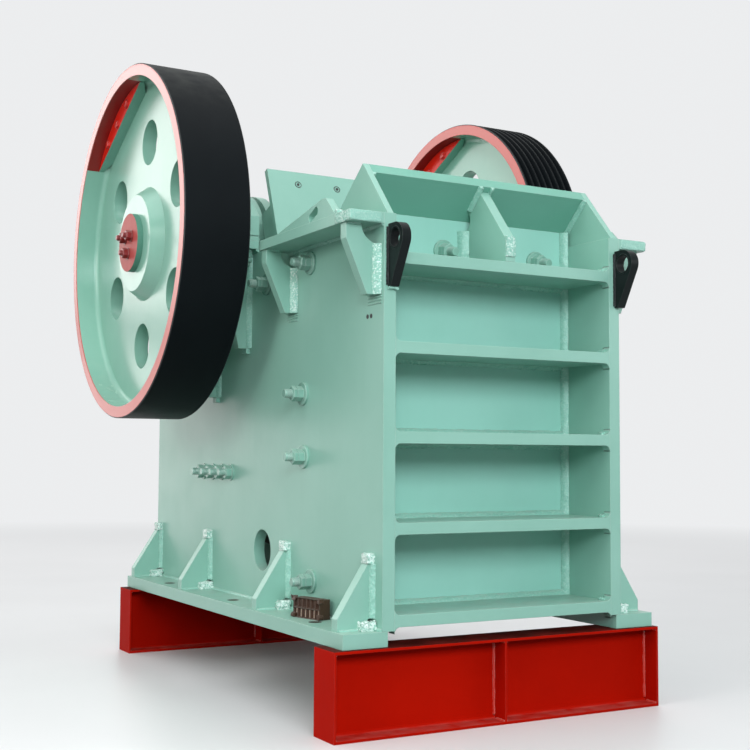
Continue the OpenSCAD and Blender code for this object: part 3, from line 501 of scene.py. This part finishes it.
# Base plates: 60 mm strips with tall gussets that hold the side plates upright. Their welds
# end at the gussets' tips in rough built-up lumps. The bores of the anchor holes are lined dark
# brown: bare rust, deepened as painted shade.
BASE_T, BASE_OUT, BASE_L = 60, 176, 2650
GUSSET_T, GUSSET_H, GUSSET_COPE = 48, 263, 46
GUSSET_Y = (99, 887, 1837, 2600)
ANCHOR_X, ANCHOR_Y, ANCHOR_R = 706, (391, 1274, 2157), 30
finish_nodes(plate_enamel, "left_base_plate", "right_base_plate", "left_base_gussets",
             "right_base_gussets")
base_welds, base_lumps = bmesh.new(), bmesh.new()
for side in (-1, 1):
    out, wall = (side, 0, 0), side * SIDE_OUT
    for y in GUSSET_Y:
        for face in (-1, 1):
            edge, away = y + face * GUSSET_T / 2, (0, face, 0)
            weld(base_welds, (wall, edge, BASE_T + GUSSET_COPE), (wall, edge, BASE_T + GUSSET_H),
                 out, away, 20, lumps=2.8)
            weld(base_welds, (wall + side * 60, edge, BASE_T),
                 (wall + side * (BASE_OUT - 20), edge, BASE_T), UP, away, 9, lumps=1.2)
            lump(base_lumps, (wall + side * 36, edge + face * 14, BASE_T + 16), (70, 44, 40), 8)
        lump(base_lumps, (wall + side * 13, y - 5, BASE_T + GUSSET_H + 18), (36, 62, 42), 5)
    weld(base_welds, (wall, 4, BASE_T), (wall, BASE_L - 4, BASE_T), out, UP, 12, lumps=1.0)
lump(base_lumps, (-SIDE_OUT - 22, 1015, BASE_T + 6), (48, 190, 26), 8)
set_down(base_welds, "base_welds", weld_enamel)
set_down(base_lumps, "base_weld_lumps", spattered_enamel)
# The bores' dark brown film is bare rust darkened as painted shade.
bore_rust_and_shade = enamel("rusty_bore_and_painted_shade", (0.060, 0.030, 0.020, 1), (0.020, 0.013, 0.010, 1),
                   rough=0.7, peel=1.0, gloss=0.1)
hole_skins = bmesh.new()
low, high, inside, outside = 1, BASE_T - 0.5, ANCHOR_R - 0.8, ANCHOR_R + 0.3
for x in (-ANCHOR_X, ANCHOR_X):
    for y in ANCHOR_Y:
        turned(hole_skins, (x, y, 0), UP, [(inside, low), (outside, low), (outside, high),
                                           (inside, high), (inside, low)], 40)
set_down(hole_skins, "anchor_hole_bores", bore_rust_and_shade)

# Terminal box: a small rusty steel box with two rows of slots in its face, the lower row with
# a pale lining, lying on the left base plate beside the second gusset.
BOX_FROM, BOX_TO = Vector((-716, 585, BASE_T)), Vector((-678, 413, BASE_T))
BOX_H, BOX_D, SLOT_BAR, SLOT_D = 85, 60, 7, 14
rusty = enamel("rusty_brown_steel", (0.020, 0.010, 0.006, 1), (0.085, 0.030, 0.011, 1),
               rough=0.5, peel=1.0, dust=0.15, edge=0.1)
pale_lining = enamel("pale_slot_lining", (0.60, 0.46, 0.38, 1), (0.20, 0.10, 0.06, 1), rough=0.6)
slotted_box = bmesh.new()
bmesh.ops.create_grid(slotted_box, x_segments=6, y_segments=2, size=0.5)
bmesh.ops.scale(slotted_box, vec=((BOX_TO - BOX_FROM).length, BOX_H, 1), verts=slotted_box.verts)
bars = set(bmesh.ops.inset_individual(slotted_box, faces=slotted_box.faces,
                                      thickness=SLOT_BAR)["faces"])
slots = [f for f in slotted_box.faces if f not in bars]
for f in slots:
    f.material_index = int(f.calc_center_median().y < 0)
bmesh.ops.translate(slotted_box, vec=(0, 0, -SLOT_D),
                    verts=list({v for f in slots for v in f.verts}))
rim = [e for e in slotted_box.edges if e.is_boundary]
walls = bmesh.ops.extrude_edge_only(slotted_box, edges=rim)["geom"]
bmesh.ops.translate(slotted_box, vec=(0, 0, -BOX_D),
                    verts=[v for v in walls if isinstance(v, bmesh.types.BMVert)])
bmesh.ops.contextual_create(slotted_box, geom=[e for e in slotted_box.edges if e.is_boundary])
along_box = (BOX_TO - BOX_FROM).normalized()
turn_box = Matrix((along_box, UP, along_box.cross(UP))).transposed().to_4x4()
middle = (BOX_FROM + BOX_TO) / 2 + Vector((0, 0, BOX_H / 2))
bmesh.ops.transform(slotted_box, matrix=Matrix.Translation(middle) @ turn_box,
                    verts=slotted_box.verts)
for end in (BOX_FROM, BOX_TO):
    for h in (12, BOX_H - 4):
        lump(slotted_box, end + Vector((6, 0, h)), (22, 24, 20), 4)
box = set_down(slotted_box, "slotted_terminal_box", rusty)
box.data.materials.append(pale_lining)

# Top flanges: ledges along the side plates' shoulders, each on two coped gussets and with an
# ear plate on its outer edge. Thin run-off ridges are left below the gussets' tips.
FLANGE_UNDER, FLANGE_TOP, FLANGE_W, FLANGE_L = 1689, 1734, 156, 893
SHELF_GUSSET_Y, SHELF_GUSSET_FOOT, SHELF_GUSSET_COPE = (72, 849), 1404, 1611
EAR_Y0, EAR_Y1, EAR_T = 142, 711, 38
finish_nodes(plate_enamel, "left_top_flange", "right_top_flange", "left_flange_gussets",
             "right_flange_gussets", "left_ear_plate", "right_ear_plate")
flange_welds, flange_seams = bmesh.new(), bmesh.new()
for side in (-1, 1):
    out, wall = (side, 0, 0), side * SIDE_OUT
    for y in SHELF_GUSSET_Y:
        for face in (-1, 1):
            edge, away = y + face * GUSSET_T / 2, (0, face, 0)
            weld(flange_welds, (wall, edge, SHELF_GUSSET_FOOT), (wall, edge, SHELF_GUSSET_COPE),
                 out, away, 29, lumps=3.4)
            weld(flange_seams, (wall + side * 84, edge, FLANGE_UNDER),
                 (wall + side * 142, edge, FLANGE_UNDER), DOWN, away, 9, lumps=1.2)
        for drop in (7, 20, 33):
            z = SHELF_GUSSET_FOOT - drop
            weld(flange_seams, (wall, y - 56, z), (wall, y + 56, z), out, DOWN, 6, lumps=0.7)
    weld(flange_seams, (wall, 4, FLANGE_UNDER), (wall, FLANGE_L - 4, FLANGE_UNDER), out, DOWN,
         12, lumps=1.2)
    ear = wall + side * (FLANGE_W - EAR_T)
    weld(flange_welds, (ear, EAR_Y0, FLANGE_TOP), (ear, EAR_Y1, FLANGE_TOP), (-side, 0, 0), UP,
         14, lumps=1.6)
    weld(flange_welds, (ear, EAR_Y0 - 4, FLANGE_TOP),
         (ear + side * (EAR_T - 4), EAR_Y0 - 4, FLANGE_TOP), TO_FRONT, UP, 22, lumps=3)
    lump(flange_welds, (wall + side * 154, 66, FLANGE_TOP - 22), (9, 128, 42), 3)
    lump(flange_seams, (wall + side * 86, 0, FLANGE_TOP - 22), (142, 6, 42), 2)
set_down(flange_welds, "flange_welds", rough_weld_enamel)
set_down(flange_seams, "flange_seams", weld_enamel)

# Lifting lugs: 40 mm plates with a large hole, welded to the side plates' front edges and
# painted black, with the plates' paint over the weld at the left one's foot.
LEFT_LUG, RIGHT_LUG = (-568, 1440), (602, 1426)
LUG_T, LUG_H, LUG_HOLE_OUT, LUG_HOLE_UP = 40, 236, 54, 186
black_enamel = enamel("black_enamel", (0.006, 0.010, 0.010, 1), (0.004, 0.005, 0.006, 1),
                      rough=0.34, dust=0.06, edge=0.12, gloss=0.12)
finish_nodes(black_enamel, "left_lifting_lug", "right_lifting_lug")
lug_welds = bmesh.new()
for x, foot in (LEFT_LUG, RIGHT_LUG):
    for face in (-1, 1):
        cheek, out = x + face * LUG_T / 2, (face, 0, 0)
        weld(lug_welds, (cheek, 0, foot), (cheek, 0, foot + LUG_H), out, TO_FRONT, 9, lumps=1.4)
        turned(lug_welds, (cheek, -LUG_HOLE_OUT, foot + LUG_HOLE_UP), out,
               [(38.5, -1), (38.5, 0.8), (40, 1.8), (44, 1.8), (46, 0.4), (46, -1), (38.5, -1)],
               40)
set_down(lug_welds, "lifting_lug_welds", black_enamel)
foot_weld = bmesh.new()
lump(foot_weld, (LEFT_LUG[0], -6, LEFT_LUG[1] - 12), (44, 16, 14), 4)
set_down(foot_weld, "left_lug_foot_weld", weld_enamel)

# Rear: a wall of plate with three cross ribs between the side plates, welded along every
# corner and painted with them.
REAR_RIBS, REAR_Y, REAR_TOP, REAR_PITCH, REAR_END = 3, 2480, 1230, 330, 2646
REAR_FOOT = 80
finish_nodes(plate_enamel, "rear_wall", "rear_ribs")
rear_welds = bmesh.new()
for i in range(REAR_RIBS):
    top = REAR_TOP - i * REAR_PITCH
    under = top - RIB_T
    foot = top - REAR_PITCH if i < REAR_RIBS - 1 else REAR_FOOT
    if i:
        weld(rear_welds, (-INNER, REAR_Y, top), (INNER, REAR_Y, top), TO_REAR, UP, 20)
    weld(rear_welds, (-INNER, REAR_Y, under), (INNER, REAR_Y, under), TO_REAR, DOWN, 16)
    for side in (-1, 1):
        corner, inward = side * INNER, (-side, 0, 0)
        weld(rear_welds, (corner, REAR_Y, foot), (corner, REAR_Y, under), inward, TO_REAR, 24)
        weld(rear_welds, (corner, REAR_Y, top), (corner, REAR_END, top), inward, UP, 14)
set_down(rear_welds, "rear_wall_welds", weld_enamel)

# Bearings: cast housings in round seats, on saddles with gussets. Four long studs hold each
# cap down on its shoulders, eight bolts hold each cover, four studs hold each saddle, and a
# grease nipple stands on top.
BEARING_Y, BEARING_Z = 1749, 1824
SADDLE_W, SADDLE_UNDER, CAP_SHOULDER = 156, 1761, 2010
COVER_BOLTS, COVER_BOLT_R, COVER_OUT = 8, 202, 26
CAP_STUD_Y, SADDLE_STUD_Y, STUD_ROWS, BOSS = 413, 458, (44, 112), 40
SADDLE_GUSSETS = ((1363, 1279, 1761), (2135, 1279, 1761), (1749, 1052, 1484))
SADDLE_RUNS = ((1247, 1339), (1387, 1410), (2088, 2111), (2159, 2251))
cast_enamel = enamel("mint_enamel_on_castings", MINT, MINT_DEEP, rough=0.38, peel=0.9)
finish_nodes(plate_enamel, "left_bearing_saddle", "right_bearing_saddle", "left_saddle_gussets",
             "right_saddle_gussets")
finish_nodes(cast_enamel, "left_bearing_housing", "right_bearing_housing")
bearing_bolts, saddle_welds = bmesh.new(), bmesh.new()
small_stud = {"washer": 29, "across": 46, "length": 84, "bar": 15}
for side in (-1, 1):
    out, wall = (side, 0, 0), side * SIDE_OUT
    for k in range(COVER_BOLTS):
        turn = tau * (k + 0.5) / COVER_BOLTS
        bolt(bearing_bolts, (wall + side * (SADDLE_W + COVER_OUT),
                             BEARING_Y + COVER_BOLT_R * cos(turn),
                             BEARING_Z + COVER_BOLT_R * sin(turn)), out,
             washer=21, washer_t=3, across=30, head=13, sides=20, chamfer=1.5)
    for x in (wall + side * row for row in STUD_ROWS):
        for y in (BEARING_Y - CAP_STUD_Y, BEARING_Y + CAP_STUD_Y):
            turned(bearing_bolts, (x, y, CAP_SHOULDER), UP,
                   [(0, -34), (31, -34), (31, BOSS - 2), (29, BOSS), (0, BOSS)])
            stud(bearing_bolts, (x, y, CAP_SHOULDER + BOSS), UP, **small_stud)
        for y in (BEARING_Y - SADDLE_STUD_Y, BEARING_Y + SADDLE_STUD_Y):
            stud(bearing_bolts, (x, y, SADDLE_UNDER), DOWN, **small_stud)
    turned(bearing_bolts, (wall + side * SADDLE_W / 2, BEARING_Y, BEARING_Z + 286), UP,
           [(0, -1), (11, -1), (11, 8), (5, 10), (5, 20), (7, 22), (7, 27), (0, 29)], 16)
    for y, low, high in SADDLE_GUSSETS:
        for face in (-1, 1):
            edge = y + face * GUSSET_T / 2
            weld(saddle_welds, (wall, edge, low), (wall, edge, high), out, (0, face, 0), 22)
        lump(saddle_welds, (wall + side * 10, y, low - 12), (24, 54, 26), 5)
    for start, end in SADDLE_RUNS:
        weld(saddle_welds, (wall, start, SADDLE_UNDER), (wall, end, SADDLE_UNDER), out, DOWN, 16)
set_down(bearing_bolts, "bearing_bolts", fastener_enamel)
set_down(saddle_welds, "saddle_welds", weld_enamel)

# Swing jaw: a ribbed steel casting with a guard plate bolted over its head. Four socket bolts
# hold the plate, with their heads a little proud in dark rings.
JAW_LEAN = Matrix.Translation((0, BEARING_Y, BEARING_Z)) @ Matrix.Rotation(-radians(20.7), 4, "X")
GUARD_FACE, GUARD_BOLT_X, GUARD_BOLT_Z = -556, (-388, -169, 169, 388), 95
finish_nodes(cast_enamel, "swing_jaw", "toggle_block")
finish_nodes(plate_enamel, "jaw_guard_plate")
guard_bolts = bmesh.new()
off_guard = JAW_LEAN.to_3x3() @ Vector(TO_FRONT)
for x in GUARD_BOLT_X:
    seat = JAW_LEAN @ Vector((x, GUARD_FACE, GUARD_BOLT_Z))
    turned(guard_bolts, seat, off_guard,
           [(14, -1), (14, 1.2), (15, 1.8), (17.5, 1.8), (18.5, -1), (14, -1)])
    turned(guard_bolts, seat, off_guard,
           [(0, -1), (9, -1), (8.5, 1.6), (7, 1.6), (7, 0.6), (0, 0.6)], 6)
set_down(guard_bolts, "guard_plate_bolts", dark_steel_and_hole_shade)

# Jaw plates: toothed castings of manganese steel, with their wedge, the cheek plates and the
# toggle plate, as they come from the foundry, with a thin brown bloom.
manganese = enamel("cast_manganese_steel", (0.085, 0.075, 0.068, 1), (0.12, 0.07, 0.045, 1),
                   rough=0.6, peel=1.0, dust=0.4, edge=0.3)
finish_nodes(manganese, "fixed_jaw_plate", "fixed_jaw_wedge", "moving_jaw_plate", "cheek_plates",
             "toggle_plate")

# Tension gear: two tension rods of bright machined steel, with nuts and red painted springs
# behind the rear wall.
RED, RED_DEEP = (0.40, 0.0055, 0.0008, 1), (0.29, 0.0035, 0.0006, 1)
RED_DUST = (0.42, 0.20, 0.17, 1)


def machined(name, colour, rough):
    """Turned or ground steel, with fine tool marks and a thin film of oil."""
    material = bpy.data.materials.new(name)
    material.use_nodes = True
    tree = material.node_tree
    spot = add(tree, "TexCoord").outputs["Object"]
    stretch = add(tree, "Mapping", {"Vector": spot, "Scale": (420, 30, 30)}).outputs[0]
    marks = clouds(tree, stretch, 1.0, 3)
    film = ranged(tree, clouds(tree, spot, 9, 5), 0.35, 0.75, 0, 0.6)
    tone = mixed(tree, film, (*colour, 1), (*(0.45 * c for c in colour), 1))
    matt = ranged(tree, marks, 0, 1, rough - 0.1, rough + 0.14)
    skin = tree.nodes["Principled BSDF"].inputs
    skin["Metallic"].default_value = 1.0
    for source, socket in ((tone, "Base Color"), (matt, "Roughness"),
                           (bumped(tree, marks, 0.3, 0.0006), "Normal")):
        tree.links.new(source, skin[socket])
    return material


bright_steel = machined("machined_steel", (0.50, 0.50, 0.49), 0.34)
red_enamel = enamel("red_enamel", RED, RED_DEEP, rough=0.4, dust=0.2, edge=0.07, gloss=0.06,
                    dust_colour=RED_DUST)
finish_nodes(bright_steel, "tension_rods")
finish_nodes(red_enamel, "tension_springs")

# Beams: rolled H sections with welded end plates and a stiffener in the middle, painted red.
# Their welds are spattered, dust lies on the lower flanges, and their tops are darkened nearly to
# black.
BEAM_Y, BEAM_WEB = (62.5, 2540.5), 9
PLATE_FACES = ((-821, 1), (-33.5, -1), (-24.5, 1), (787, -1))
FLANGE_FACES = ((-338, 1), (-12, -1))
beam_enamel = enamel("red_enamel_on_beams", RED, RED_DEEP, rough=0.5, dust=0.3, edge=0.07,
                     gloss=0.02, dust_colour=RED_DUST)
beam_tree = beam_enamel.node_tree
spot = add(beam_tree, "TexCoord").outputs["Object"]
level = add(beam_tree, "SeparateXYZ", {"Vector": spot}).outputs["Z"]
# The tops are darkened nearly to black over most of their face.
on_top = maths(beam_tree, "GREATER_THAN", level, (BEAM_H - 0.5) / 1000)
dark_top_tone = ranged(beam_tree, clouds(beam_tree, spot, 9, 5), 0.25, 0.6, 0.75, 0.98)
topped = mixed(beam_tree, maths(beam_tree, "MULTIPLY", on_top, dark_top_tone),
               beam_tree.nodes["Group"].outputs["Colour"], (0.045, 0.006, 0.004, 1))
beam_tree.links.new(topped, beam_tree.nodes["Principled BSDF"].inputs["Base Color"])
finish_nodes(beam_enamel, "front_beam", "rear_beam")
beam_weld_red = enamel("red_enamel_on_welds", (0.50, 0.03, 0.018, 1), RED, rough=0.3, peel=1.0,
                       gloss=0.4)
beam_welds = bmesh.new()
for middle in BEAM_Y:
    for face in (-1, 1):
        web, away = middle + face * BEAM_WEB / 2, (0, face, 0)
        for x, way in PLATE_FACES:
            off_plate = (way, 0, 0)
            weld(beam_welds, (x, web, -322), (x, web, -28), off_plate, away, 8, lumps=1.6)
            for z, up in FLANGE_FACES:
                weld(beam_welds, (x, middle + face * 22, z), (x, middle + face * 84, z),
                     off_plate, (0, 0, up), 7, lumps=1.2)
set_down(beam_welds, "beam_welds", beam_weld_red)

# Shaft: forged steel with an eccentric middle part, ground bright where it shows between the
# bearings and the wheels.
finish_nodes(bright_steel, "main_shaft")

# Wheels: a flywheel and a grooved drive pulley, cast with web and hub, each with bolted
# counterweights. Rims are black outside and pink-red on their faces, paled towards the top as a
# painted highlight, and the rest is glossy mint green. Each wheel's sizes: middle along the
# shaft, half width, radius, bore of the rim.
FLYWHEEL, PULLEY = (-976, 160, 889, 831), (971, 155, 847, 789)
WHEEL_Y, WHEEL_Z = (BEARING_Y - MIDDLE_Y) / 1000, (BEARING_Z + BEAM_H) / 1000
WEIGHT_TURN, WEIGHT_SPREAD, WEIGHT_FOOT = radians(64.5), radians(27.5), 0.085
RIM_RED = (0.50, 0.060, 0.045, 1)
RIM_EDGE_RED = (0.50, 0.05, 0.04, 1)
WEIGHT_SIDE_RED = (0.22, 0.007, 0.005, 1)
TREAD_BLACK = (0.0075, 0.0095, 0.0105, 1)


def wheel_zones(name, wheel):
    """Masks of a wheel's zones from the distance to the shaft and along it, and a ramp for a
    painted highlight.
    """
    mid, half, rim, bore = (size / 1000 for size in wheel)
    titles = ("Tread", "Face", "Weight side", "Edge", "Up")
    tree, _, made = group(name, (), [(title, "Float", None) for title in titles])
    spot = add(tree, "TexCoord").outputs["Object"]
    wander = ranged(tree, clouds(tree, spot, 26, 3), 0, 1, -0.0022, 0.0022)
    part = add(tree, "SeparateXYZ", {"Vector": spot}).outputs
    y = maths(tree, "SUBTRACT", part["Y"], WHEEL_Y)
    z = maths(tree, "SUBTRACT", part["Z"], WHEEL_Z)
    flat = add(tree, "CombineXYZ", {"Y": y, "Z": z}).outputs[0]
    reach = add(tree, "VectorMath", {0: flat}, operation="LENGTH").outputs["Value"]
    radius = maths(tree, "ADD", reach, wander)
    offset = maths(tree, "ABSOLUTE", maths(tree, "SUBTRACT", part["X"], mid))

    tread = maths(tree, "GREATER_THAN", radius, rim - 0.0045)
    outer = maths(tree, "GREATER_THAN", offset, half - 0.004)
    face = maths(tree, "MULTIPLY", outer, maths(tree, "GREATER_THAN", radius, bore - 0.0015))
    edge = ranged(tree, radius, rim - 0.016, rim - 0.004)
    angle = maths(tree, "ARCTAN2", z, y)
    near = maths(tree, "ABSOLUTE", maths(tree, "SUBTRACT", angle, WEIGHT_TURN))
    sector = maths(tree, "LESS_THAN", near, WEIGHT_SPREAD)
    inside = maths(tree, "GREATER_THAN", radius, bore - 0.006)
    above_web = maths(tree, "GREATER_THAN", offset, WEIGHT_FOOT)
    red = maths(tree, "MULTIPLY", maths(tree, "MULTIPLY", sector, inside), above_web)
    # A ramp up the wheel's height, used to pale the rim faces towards the top as a painted
    # highlight.
    up = ranged(tree, z, -0.7, 0.75)
    for title, mask in zip(titles, (tread, face, red, edge, up)):
        tree.links.new(mask, made[title])
    return tree


def wheel_enamel(name, zones, pale):
    """A wheel's glossy mint coat with other paints laid over it zone by zone; rim faces pale
    upward as painted highlight.
    """
    material = enamel(name, (0.25, 0.48, 0.385, 1), MINT_DEEP, rough=0.2, peel=0.2, dust=0.2,
                      edge=0.2, gloss=0.5)
    tree = material.node_tree
    coat, skin = tree.nodes["Group"].outputs, tree.nodes["Principled BSDF"].inputs
    zone = add(tree, "Group", {}, node_tree=zones).outputs
    # The pale colour blended in towards the top of the rim faces is a painted highlight.
    highlit_rim_red = mixed(tree, zone["Up"], RIM_RED, pale)
    rim_face = mixed(tree, zone["Edge"], highlit_rim_red, RIM_EDGE_RED)
    colour, rough = coat["Colour"], coat["Roughness"]
    for title, paint, matt in (("Weight side", WEIGHT_SIDE_RED, 0.35), ("Face", rim_face, 0.3),
                               ("Tread", TREAD_BLACK, 0.52)):
        colour = mixed(tree, zone[title], colour, paint)
        rough = blended(tree, zone[title], rough, matt)
    tree.links.new(colour, skin["Base Color"])
    tree.links.new(rough, skin["Roughness"])
    return material


fly_zones = wheel_zones("flywheel_zones", FLYWHEEL)
pulley_zones = wheel_zones("pulley_zones", PULLEY)
finish_nodes(wheel_enamel("flywheel_enamel", fly_zones, (0.60, 0.21, 0.20, 1)), "flywheel")
finish_nodes(wheel_enamel("pulley_enamel", pulley_zones, (0.50, 0.075, 0.060, 1)), "drive_pulley")


def two_paints(name, flat, deep, sides, **finish):
    """Enamel with one colour on the faces across the shaft and another on the sides."""
    material = enamel(name, flat, deep, **finish)
    tree = material.node_tree
    way = add(tree, "SeparateXYZ", {"Vector": add(tree, "TexCoord").outputs["Normal"]})
    is_side = maths(tree, "LESS_THAN", maths(tree, "ABSOLUTE", way.outputs["X"]), 0.5)
    both = mixed(tree, is_side, tree.nodes["Group"].outputs["Colour"], sides)
    tree.links.new(both, tree.nodes["Principled BSDF"].inputs["Base Color"])
    return material


weight_red = two_paints("red_enamel_on_weights", (0.70, 0.014, 0.004, 1), (0.50, 0.010, 0.004, 1),
                        MINT_DEEP, rough=0.3, dust=0.1, edge=0.1, gloss=0.2)
cap_red = two_paints("pink_red_enamel_on_caps", (0.40, 0.055, 0.050, 1), (0.52, 0.20, 0.18, 1),
                     (0.10, 0.25, 0.19, 1), rough=0.45, dust=0.1, edge=0.3, gloss=0.1)
finish_nodes(weight_red, "flywheel_weights", "pulley_weights")
finish_nodes(cap_red, "shaft_end_caps")

# Treads: both wheels' rims are painted black, with a thick matt film that is laid over the
# turned face and follows the pulley's seven belt grooves.
FILM, FILM_MARGIN = 0.6, 5
GROOVES, GROOVE_PITCH, GROOVE_D = 7, 42, 26
GROOVE_OUTLINE = ((-17, 0), (-7.9, GROOVE_D), (7.9, GROOVE_D), (17, 0))
tread_black = enamel("matt_black_enamel", (0.0050, 0.0068, 0.0080, 1), (0.003, 0.004, 0.005, 1),
                     rough=0.46, peel=0.4, dust=0.06, edge=0.06, gloss=0.05)


def tread_film(name, wheel, root, grooves=(), crease=38):
    """A ring of paint on a wheel's tread, whose underside lies in the rim."""
    mid, half, radius, _ = wheel
    start, end, under, skin = FILM_MARGIN, 2 * half - FILM_MARGIN, radius - root, radius + FILM
    outline = [(under, start), (skin, start)]
    outline += [(skin - drop, half + along) for along, drop in grooves]
    outline += [(skin, end), (under, end), (under, start)]
    film = bmesh.new()
    turned(film, (mid - half, BEARING_Y, BEARING_Z), (1, 0, 0), outline, 180)
    set_down(film, name, tread_black, "rotor", crease)


tread_film("flywheel_tread_paint", FLYWHEEL, root=3)
grooves = [((i - GROOVES // 2) * GROOVE_PITCH + away, drop)
           for i in range(GROOVES) for away, drop in GROOVE_OUTLINE]
tread_film("pulley_tread_paint", PULLEY, root=35, grooves=grooves, crease=20)

# Bolts of the counterweights, low and painted with them, and the three longer bolts that hold
# each end cap on the shaft.
WEIGHT_OUT, BOLTS_IN_RIM, WEIGHT_BOLT_ALONG = 36.5 + 54, 63, (-180, -8, 164)
CAP_FACES, CAP_BOLT_AT = ((-1, -1104.5), (1, 1136)), ((-48, 28), (48, 28), (0, -55))
bright_red = enamel("bright_red_enamel", (0.55, 0.014, 0.008, 1), (0.40, 0.010, 0.006, 1),
                    rough=0.28, edge=0.1, gloss=0.3)
bolt_red = enamel("dark_red_enamel", (0.22, 0.008, 0.008, 1), (0.11, 0.005, 0.005, 1), rough=0.3,
                  edge=0.1)
weight_bolts = bmesh.new()
outward = Vector((0, cos(WEIGHT_TURN), sin(WEIGHT_TURN)))
sideways = Vector((0, -sin(WEIGHT_TURN), cos(WEIGHT_TURN)))
for mid, half, radius, bore in (FLYWHEEL, PULLEY):
    for face in (-1, 1):
        middle = Vector((mid + face * WEIGHT_OUT, BEARING_Y, BEARING_Z))
        for along in WEIGHT_BOLT_ALONG:
            bolt(weight_bolts, middle + outward * (bore - BOLTS_IN_RIM) + sideways * along,
                 (face, 0, 0), washer=25, washer_t=3, across=36, head=9)
set_down(weight_bolts, "counterweight_bolts", bright_red, "rotor")
cap_bolts = bmesh.new()
for face, cap in CAP_FACES:
    out = (face, 0, 0)
    for y, z in CAP_BOLT_AT:
        tip = bolt(cap_bolts, (cap, BEARING_Y + y, BEARING_Z + z), out, washer=30, washer_t=4,
                   across=46, head=28)
        threaded_tip(cap_bolts, tip, out, bar=15, start=1, end=16)
set_down(cap_bolts, "shaft_end_cap_bolts", bolt_red, "rotor")
